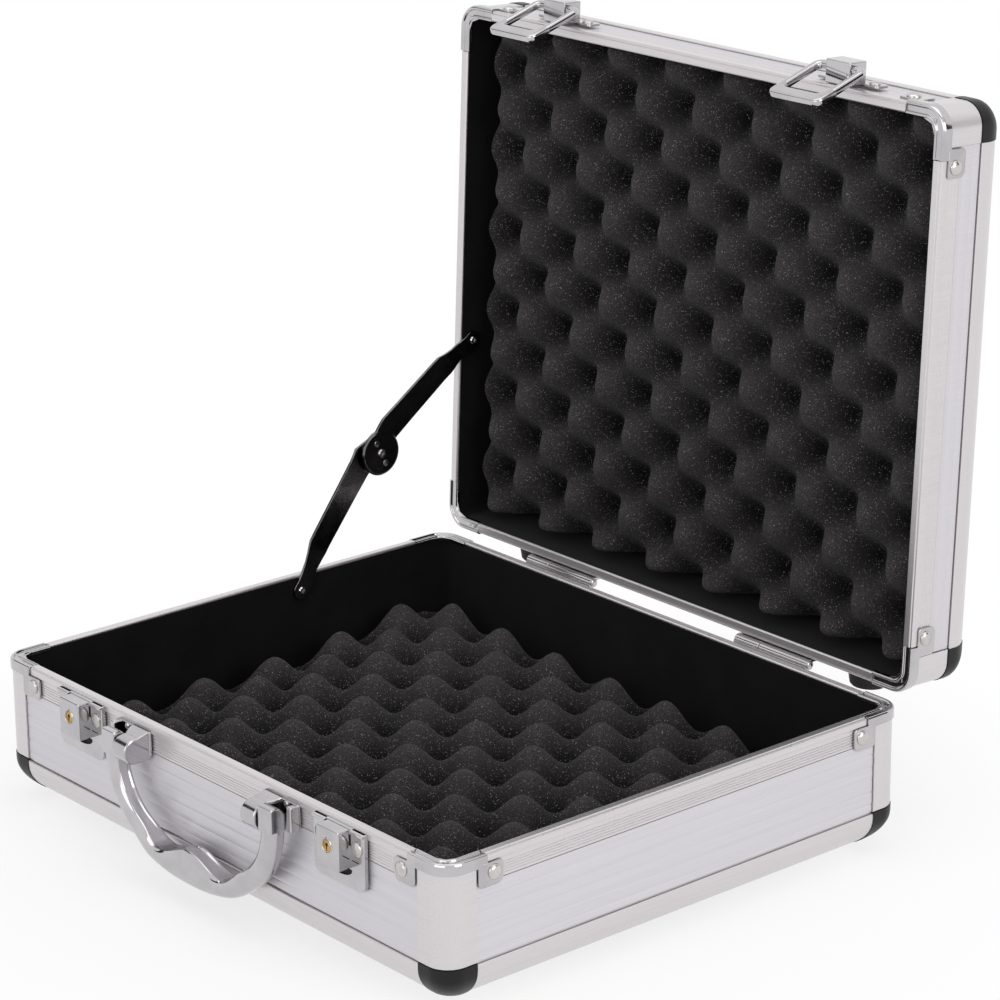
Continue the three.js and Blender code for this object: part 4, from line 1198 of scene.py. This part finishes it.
# %% Handle
HANDLE_DROP, SQUARENESS = 39.9, 2.3
STATIONS = 140
GRIP_LENGTH, GRIP_BLEND, GRIP_WIDTH, GRIP_DEPTH = 40.0, 16.0, 6.0, 5.4
FINGER_WAVE, FINGER_PITCH = 4.0, 50.0
SECTION = softened([
    (-1.0, 0.6), (-1.0, -0.2), (-0.74, -0.78), (-0.1, -1.0), (0.6, -0.9), (1.0, -0.52), (0.9, -0.15),
    (0.9, 0.45), (1.0, 0.75), (0.8, 1.0), (-0.65, 1.0),
], 0.3, 5)


def bend(value, power=2 / SQUARENESS):
    return (1 if value >= 0 else -1) * abs(value) ** power


def handle_loops():
    tiny = pi / STATIONS / 8
    loops = []
    for i in range(STATIONS + 1):
        angle = min(max(pi * i / STATIONS, tiny), pi - tiny)

        def centre(at):
            return Vector((HANDLE_SPAN * bend(cos(at)), -HANDLE_DROP * max(sin(at), 0) ** (2 / SQUARENESS)))

        here = centre(angle)
        run = (centre(min(angle + tiny, pi)) - centre(max(angle - tiny, 0))).normalized()
        inward = Vector((-run.y, run.x))
        if inward.dot(-here) < 0:
            inward = -inward
        grip = 1 - smooth_step(abs(here.x), GRIP_LENGTH - GRIP_BLEND, GRIP_LENGTH)
        high = LEG_WIDTH + (GRIP_WIDTH - LEG_WIDTH) * grip
        deep = LEG_DEPTH + (GRIP_DEPTH - LEG_DEPTH) * grip
        wave = grip * FINGER_WAVE * cos(2 * pi * here.x / FINGER_PITCH)
        loop = []
        for across, depth in SECTION:
            spot = here + inward * (high * across + max(across, 0) * wave)
            loop.append((spot.x, HANDLE_Y + deep * depth, HANDLE_Z + spot.y))
        loops.append(loop)
    return loops


handle_parts = [loft(handle_loops())]
HEAD = [(-4.0, -4.0), (4.0, -4.0), (4.0, 3.0), (0.0, 6.6), (-3.2, 6.6), (-4.0, 5.8)]
for side in (-1, 1):
    head = [(HANDLE_Y + y, HANDLE_Z + z) for y, z in HEAD]
    inner_face = side * HANDLE_SPAN - LEG_WIDTH
    handle_parts.append(plate([head], 2 * LEG_WIDTH, "side", inner_face, edge=0.7, steps=4))
set_down("cast_handle", handle_parts, "chrome", "handle", "handle", crisp=50)
print("handle loft has", STATIONS + 1, "sections")

# %% [markdown]
# ## Hasp plates
# On the lid, a riveted plate carries a chrome block, and the hasp's pin runs through it. The block is cut
# square and its edges are broken.

# %% Hasp plates
HASP_Y, HASP_Z = FRONT - 7.0, LID_RIM + 4.2
MOUNT_WIDTH, MOUNT_LOW, MOUNT_HIGH, MOUNT_THICK = 34.5, LID_RIM + 7.2, LID_RIM + 15.0, 1.2
AXLE, AXLE_RADIUS = 25.2, 1.4


def hasp_plate_parts(x):
    face = FRONT - FIT
    outline = rounded(x - MOUNT_WIDTH / 2, x + MOUNT_WIDTH / 2, MOUNT_LOW, MOUNT_HIGH, (1.6, 1.6, 1.6, 1.6))
    return [
        plate([outline], MOUNT_THICK, "front", face, edge=0.25),
        block(x - 7, x + 7, face - 10, face, LID_RIM + 1.6, LID_RIM + 11.6, 0.6, 3),
    ]


for label, side in SIDES:
    x = side * LOCK_X
    set_down("hasp_mount_" + label, hasp_plate_parts(x), "chrome", "lid", "hasp_plate_" + label, SWUNG_OPEN)
    pin = rod(AXLE_RADIUS, (x - AXLE / 2, HASP_Y, HASP_Z), (1, 0, 0), AXLE, 0.4)
    node = "hasp_pin_" + label
    set_down("hasp_axle_" + label, [pin], "rivet_metal", "lid", node, SWUNG_OPEN)
    spots = [(x + step, FRONT - FIT - MOUNT_THICK, (MOUNT_LOW + MOUNT_HIGH) / 2) for step in (-12.4, 12.4)]
    fasten("hasp_rivets_" + label, [dome(2.6, 1.0, spot, (0, -1, 0)) for spot in spots], "lid", SWUNG_OPEN)
print("hasp pins run at height", HASP_Z)

# %% [markdown]
# ## Hasps
# A hasp is a heavy wire bent to a U, with its free end pressed flat to a tab. The wire bends inwards at the
# top and runs into the block on the lid, about the line of the pin. A tongue behind the tab catches in the
# lock. The window between the bars is open, so it has to be built from a swept wire and a plate with soft
# edges and not from one block.

# %% Hasps
HASP_HALF, BAR, HASP_REACH = 14.75, 1.9, 30.2
TAB_TOP, TAB_SHOULDER = -23.9, -19.0
WINDOW_ROUND, WIRE_BEND, BEND_STEPS = 3.4, 3.0, 8
HASP_OPEN = 20


def wire(path, radius, sides=20):
    """A round wire along a path of (x, z) points."""
    loops = []
    for index, (x, z) in enumerate(path):
        before, after = path[max(index - 1, 0)], path[min(index + 1, len(path) - 1)]
        run = Vector((after[0] - before[0], after[1] - before[1])).normalized()
        ring = []
        for u, y in arc((0, 0), (radius, radius), 0, 2 * pi, sides)[:-1]:
            ring.append((x - run.y * u, y, z + run.x * u))
        loops.append(ring)
    return loft(loops)


def hasp_parts():
    arm = HASP_HALF - BAR
    inner = arm - BAR + 0.3
    bent = arc((arm - WIRE_BEND, -WIRE_BEND), (WIRE_BEND, WIRE_BEND), 0, pi / 2, BEND_STEPS)
    path = [(arm, TAB_TOP - 2.0), *bent, (7.2, 0)]
    parts = [wire([(side * u, v) for u, v in path], BAR) for side in (-1, 1)]
    rounds = (WINDOW_ROUND, WINDOW_ROUND)
    window = arc((inner - WINDOW_ROUND, TAB_TOP + WINDOW_ROUND), rounds, 0, -pi / 2, BEND_STEPS)
    right = [(HASP_HALF, TAB_SHOULDER), (inner, TAB_SHOULDER), *window]
    tab = rounded(-HASP_HALF, HASP_HALF, -HASP_REACH, TAB_TOP, (3.4, 3.4, 0, 0), 8)[:-2]
    tab += right + [(-u, v) for u, v in right[::-1]]
    parts.append(plate([tab], 3.6, "front", 1.8, edge=1.3, steps=5))
    parts.append(block(-3, 3, 0, 3.2, TAB_TOP - 2.9, TAB_TOP - 0.7, 0.35))
    return parts


for label, side in SIDES:
    hung = Matrix.Translation((side * LOCK_X, HASP_Y, HASP_Z)) @ Matrix.Rotation(radians(HASP_OPEN), 4, "X")
    node = "hasp_" + label
    set_down("wire_hasp_" + label, hasp_parts(), "chrome", node, node, SWUNG_OPEN @ hung, crisp=40)
print("hasps hang", HASP_REACH, "mm below their pins")

# %% [markdown]
# ## Hinges
# Two strap hinges join the halves. Each has a leaf on the back of the base and one on the lid, a short
# knuckle that belongs to the base, a long one that belongs to the lid, and a pin through both with a
# rounded head.

# %% Hinges
HINGE_STARTS = {"left": -HALF_WIDTH + 59.6, "right": HALF_WIDTH - 57.2 - 44.4}
HINGE_LENGTH, LEAF_HEIGHT, LEAF_THICK = 44.4, 20.0, 1.2
KNUCKLE, KNUCKLE_BORE, HINGE_PIN = 2.3, 1.25, 1.2
PIN_HEAD = [(0, 0), (1.9, 0), (1.9, 0.5), (1.2, 1.0), (0, 1.1)]
HINGE_RIVETS, HINGE_RIVET_Z = (7, HINGE_LENGTH / 2, HINGE_LENGTH - 7), 12.5


def hinge_leaf(start, upward):
    """A leaf with its knuckle: the base's leaf hangs down, and the lid's stands up."""
    third = HINGE_LENGTH / 3
    own = (start + third + 0.15, start + HINGE_LENGTH) if upward else (start, start + third - 0.15)
    run = own[1] - own[0]
    face = HINGE_Y - 2.6 + (FIT if upward else 0)
    near, far = (0.3, LEAF_HEIGHT) if upward else (-LEAF_HEIGHT, -0.3)
    radii = (0.3, 0.3, 1.6, 1.6) if upward else (1.6, 1.6, 0.3, 0.3)
    outline = rounded(start, start + HINGE_LENGTH, HINGE_Z + near, HINGE_Z + far, radii)
    curl = [(2.0, 0), (KNUCKLE, 0.3), (KNUCKLE, run - 0.3), (2.0, run), (KNUCKLE_BORE, run)]
    curl = [(KNUCKLE_BORE, 0), *curl, (KNUCKLE_BORE, 0)]
    strap = sorted((HINGE_Z, HINGE_Z + (1 if upward else -1) * 2.4))
    parts = [
        plate([outline], LEAF_THICK, "front", face + LEAF_THICK, edge=0.2),
        turned(curl, (own[0], HINGE_Y, HINGE_Z), (1, 0, 0)),
        block(own[0] + 0.1, own[1] - 0.1, face + 0.1, face + 1.3, *strap, 0.1),
    ]
    if not upward:
        pin_at = (start - 0.1, HINGE_Y, HINGE_Z)
        parts.append(rod(HINGE_PIN, pin_at, (1, 0, 0), HINGE_LENGTH + 0.6, 0.3))
        parts.append(turned(PIN_HEAD, (start + HINGE_LENGTH - 0.1, HINGE_Y, HINGE_Z), (1, 0, 0)))
    return parts


LEAVES = (("base", False, AT_HOME), ("lid", True, SWUNG_OPEN))
for label, start in HINGE_STARTS.items():
    for body, upward, place in LEAVES:
        name, node = "hinge_" + body + "_" + label, "hinge_leaf_" + body + "_" + label
        set_down(name, hinge_leaf(start, upward), "chrome", body, node, place)
    for body, upward, place in LEAVES:
        z = HINGE_Z + (HINGE_RIVET_Z if upward else -HINGE_RIVET_Z)
        domes = [dome(2.2, 0.8, (start + step, BACK + 1.25, z), (0, 1, 0), 20) for step in HINGE_RIVETS]
        fasten("hinge_rivets_" + body + "_" + label, domes, body, place)
print("hinge knuckles are", 2 * KNUCKLE, "mm across")

# %% [markdown]
# ## Rubber feet and stop pegs
# The case stands on two tapered rubber feet when it is carried upright. Two little pegs on the back of the
# lid's rim meet the base's rim and stop the lid just past upright.

# %% Rubber feet and stop pegs
FOOT = [(0, 0), (9.6, 0), (10, 0.4), (9.9, 1.2), (8.3, 9.9), (7.4, 10.9), (3.2, 11.0), (2.9, 9.4), (0, 9.3)]
PEG = [(0, 0), (1.5, 0), (1.5, 1.6), (1.1, 2.0), (0, 2.0)]
FOOT_FROM_SIDE, FOOT_RISE, PEG_RISE = 42, 21, 6
PEGS_AT = (-HALF_WIDTH + 118.2, HALF_WIDTH - 44.8)
for label, side in SIDES:
    at = (side * (HALF_WIDTH - FOOT_FROM_SIDE), BACK + FIT, LID_RIM + FOOT_RISE)
    foot = turned(FOOT, at, (0, 1, 0))
    set_down("foot_" + label, [foot], "rubber", "lid", "rubber_foot_" + label, SWUNG_OPEN)
pegs = [turned(PEG, (x, BACK - 0.6, LID_RIM + PEG_RISE), (0, 1, 0)) for x in PEGS_AT]
set_down("stop_pegs", pegs, "black_steel", "lid", None, SWUNG_OPEN)
print("pegs and feet made")

# %% [markdown]
# ## Stay
# A folding stay on the left wall holds the lid. Both arms are glossy black strip, cranked near the wall so
# that they pass each other, and set off a little to opposite sides. A hooked shoulder at the elbow stops
# them from over-centring, and a disc with a rivet covers the joint. Each arm is an outline that is bent
# sideways by its distance from the end.

# %% Stay
ARM, STAY_X = 73.0, -144.3
LOWER_AT, UPPER_AT = (34.0, 57.5), (138.154, 157.458)
ELBOW_AT = (78.521, 115.352)
STAY_THICK, END_ROUND, ELBOW_ROUND, ELBOW_SWEEP = 1.3, 4.4, 7.4, 256
ARM_WIDTHS = ((7, 4.2), (12, 3.9), (16, 4.6), (21, 5.7), (34, 5.9), (50, 6.1), (62, 6.4))
SHOULDER = [(ARM - 7.6, 7.4), (ARM - 4.5, 8.8), (ARM - 1.2, 7.7)]
BENDS_AT = (3, 6, 9, 11, 13, 15, 17, 19, 22, 25, 61, 64, 67, 70)
DISC = [
    (0, 3.7), (10.1, 3.7), (10.6, 4.0), (10.6, 4.5), (10.0, 5.0), (9.2, 5.1), (8.6, 4.9), (4.0, 5.1),
    (0, 5.15),
]


def arm_outline():
    """Half widths along the arm: a round end, a narrow neck, a widening strip, a hooked shoulder and a
    round elbow."""
    upper = arc((0, 0), (-END_ROUND, END_ROUND), 0, pi / 2, 8) + list(ARM_WIDTHS)
    elbow = arc((ARM, 0), (ELBOW_ROUND, ELBOW_ROUND), radians(ELBOW_SWEEP / 2), -radians(ELBOW_SWEEP), 16)
    return upper + SHOULDER + elbow[6:] + [(u, -v) for u, v in upper[::-1]]


def arm_mesh(crank, aside):
    """An arm, cranked away from the wall and set off to one side between its rivets."""
    strip = plate([arm_outline()], STAY_THICK, "side", -STAY_THICK / 2, edge=0.25)
    for along in BENDS_AT:
        geometry = strip.verts[:] + strip.edges[:] + strip.faces[:]
        bmesh.ops.bisect_plane(strip, geom=geometry, plane_co=(0, along, 0), plane_no=(0, 1, 0))
    for corner in strip.verts:
        along = corner.co.y
        corner.co.x += crank * smooth_step(along, 8.0, 20.0)
        corner.co.z += aside * smooth_step(along, 2.0, 24.0) * (1 - 0.55 * smooth_step(along, 60.0, 76.0))
    return strip


def along_arm(start, end):
    """The matrix that lays an arm drawn along +Y from start to end, in the plane of the wall."""
    angle = Vector((end[0] - start[0], end[1] - start[1])).angle_signed(Vector((1, 0)))
    return Matrix.Translation((STAY_X, *start)) @ Matrix.Rotation(angle, 4, "X")


ARMS = {
    "lower": {"place": along_arm(LOWER_AT, ELBOW_AT), "crank": 1.5, "aside": 5.0},
    "upper": {"place": along_arm(UPPER_AT, ELBOW_AT), "crank": 3.0, "aside": -5.0},
}
for label, data in ARMS.items():
    arm = arm_mesh(data["crank"], data["aside"])
    body, node = "stay_" + label, "stay_" + label + "_arm"
    set_down("stay_arm_" + label, [arm], "black_steel", body, node, data["place"])
elbow_place = ARMS["lower"]["place"]
disc = turned(DISC, (0, ARM, 0), (1, 0, 0), 56)
set_down("stay_disc", [disc], "black_steel", "stay_lower", None, elbow_place)
print("stay arms are", ARM, "mm between rivets")

# %% Stay rivets
DOTS_AT, DOTS_OUT = 1.1, 5.6
ELBOW_RIVET = [(0, -2.0), (2.1, -2.0), (2.1, 0.3), (1.7, 0.8), (0.9, 0.8), (0.7, 0.3), (0, 0.3)]
WALL_RIVET = [(0, -1.2), (1.9, -1.2), (1.9, 0.1), (1.5, 0.7), (0.8, 0.7), (0.6, 0.2), (0, 0.2)]
dots = []
for angle in (DOTS_AT, DOTS_AT + pi):
    at = (4.9, ARM + DOTS_OUT * cos(angle), DOTS_OUT * sin(angle))
    dots.append(dome(1.5, 0.12, at, (1, 0, 0), 20))
fasten("stay_disc_dots", dots, "stay_lower", elbow_place)
fasten("stay_elbow_rivet", [turned(ELBOW_RIVET, (5.2, ARM, 0), (1, 0, 0))], "stay_lower", elbow_place)
for label, data in ARMS.items():
    body = "stay_" + label
    fasten(body + "_wall_rivet", [turned(WALL_RIVET, (0.6, 0, 0), (1, 0, 0))], body, data["place"])
print("stay rivets made")

# %% [markdown]
# ## Table, light and camera
# The case stands on a pale table in soft studio light. Large area lamps give broad, soft highlights on the
# rounded metal, and black cards outside the picture give the plated parts the dark streaks that they need
# to read as metal. The world is white to the camera and to reflections, and a softer grey to diffuse light.
# Away from the case the table turns into white paper, so that only the shadow near the case shows.

# %% Table
TABLE_SIZE = 12.0
SHADOW_REACH, PAPER_SHARES = (0.14, 0.3), (0.7, 1.0)
WHITE, PALE = (1, 1, 1, 1), (0.93, 0.93, 0.93, 1)


def seen_rays(tree):
    """One for the rays that look at a surface: straight, in a reflection or through glass."""
    rays = add(tree, "LightPath").outputs
    straight_or_mirrored = maths("MAXIMUM", rays["Is Camera Ray"], rays["Is Glossy Ray"])
    return maths("MAXIMUM", straight_or_mirrored, rays["Is Transmission Ray"])


def blended(tree, output, share, *shaders):
    """Feeds an output with a blend of two shaders."""
    blend = add(tree, "MixShader")
    for socket, value in zip(blend.inputs, (share, *[shader.outputs[0] for shader in shaders])):
        give(socket, value)
    give(tree.nodes[output].inputs["Surface"], blend.outputs[0])


tree, shader = new_finish("pale_table", Base_Color=PALE, Roughness=0.9, Specular_IOR_Level=0.0)
paper = add(tree, "Emission", Color=WHITE, Strength=1.0)
away = add(tree, "VectorMath", operation="LENGTH")
give(away.inputs[0], add(tree, "TexCoord").outputs["Object"])
fade = ranged(away.outputs["Value"], *SHADOW_REACH, *PAPER_SHARES)
blended(tree, "Material Output", maths("MULTIPLY", fade, seen_rays(tree)), shader, paper)
bpy.ops.mesh.primitive_plane_add(size=TABLE_SIZE, location=(0, 0, 0))
table = bpy.context.object
table.name = "pale_table"
table.data.materials.append(finishes["pale_table"])
print("table is", TABLE_SIZE, "m wide")

# %% Lamps, cards and world
AIM = Vector((0, 0, 0.1))
LAMPS = {
    "lamp_overhead": {"at": (0.1, -0.1, 1.7), "size": (1.6, 1.2), "watts": 6},
    "lamp_front": {"at": (0.7, -1.8, 0.8), "size": (1.4, 1.0), "watts": 6},
    "lamp_right": {"at": (1.7, 0.1, 0.8), "size": (0.8, 0.9), "watts": 8},
}
CARDS = {
    "card_left": {"at": (-1.1, -0.5, 0.75), "size": (0.9, 0.3)},
    "card_high": {"at": (0.55, -0.75, 1.25), "size": (0.9, 0.25)},
    "card_right": {"at": (1.0, 0.9, 0.75), "size": (0.35, 0.9)},
}
AMBIENT = 0.6
scene = bpy.context.scene


def aimed(at, axis):
    return (AIM - Vector(at)).to_track_quat(axis, "Y").to_euler()


for name, data in LAMPS.items():
    lamp = bpy.data.lights.new(name, "AREA")
    lamp.shape = "RECTANGLE"
    lamp.size, lamp.size_y = data["size"]
    lamp.energy = data["watts"]
    holder = bpy.data.objects.new(name, lamp)
    holder.location = data["at"]
    holder.rotation_euler = aimed(data["at"], "-Z")
    scene.collection.objects.link(holder)

new_finish("black_card", Base_Color=(0.02, 0.02, 0.02, 1), Specular_IOR_Level=0.0)
for name, data in CARDS.items():
    bpy.ops.mesh.primitive_plane_add(size=1, location=data["at"])
    card = bpy.context.object
    card.name = name
    card.scale = (*data["size"], 1)
    card.rotation_euler = aimed(data["at"], "Z")
    card.data.materials.append(finishes["black_card"])
    card.visible_diffuse = False
    card.visible_shadow = False

world = bpy.data.worlds.new("studio")
scene.world = world
world.use_nodes = True
tree = world.node_tree
soft = set_up(tree.nodes["Background"], {"Color": WHITE, "Strength": AMBIENT})
white = add(tree, "Background", Color=WHITE, Strength=1.0)
blended(tree, "World Output", seen_rays(tree), soft, white)
scene.view_settings.view_transform = "Standard"

# %% [markdown]
# The camera's place, angles and lens were solved from the straight edges of the case. It looks down and
# across the case from the front right with a long lens, and a small shift frames it.

# %% Camera
LENS, SENSOR, SHIFT = 130.44, 36.0, -0.04
CAMERA_AT = Vector((1113.101, -909.647, 628.607)) * METRE_PER_MM
YAW, PITCH, ROLL = radians(49.095), radians(-17.969), radians(-0.283)
look = Vector((-sin(YAW) * cos(PITCH), cos(YAW) * cos(PITCH), sin(PITCH)))
level_right = Vector((cos(YAW), sin(YAW), 0))
level_up = level_right.cross(look)
right = level_right * cos(ROLL) + level_up * sin(ROLL)
up = level_up * cos(ROLL) - level_right * sin(ROLL)
camera_data = bpy.data.cameras.new("camera")
camera_data.lens = LENS
camera_data.sensor_width = SENSOR
camera_data.shift_x = SHIFT
camera_data.shift_y = SHIFT
camera = bpy.data.objects.new("camera", camera_data)
turn = Matrix((right, up, -look)).transposed()
camera.matrix_world = Matrix.Translation(CAMERA_AT) @ turn.to_4x4()
scene.collection.objects.link(camera)
scene.camera = camera
print("camera stands", round(CAMERA_AT.length, 2), "m from the case")
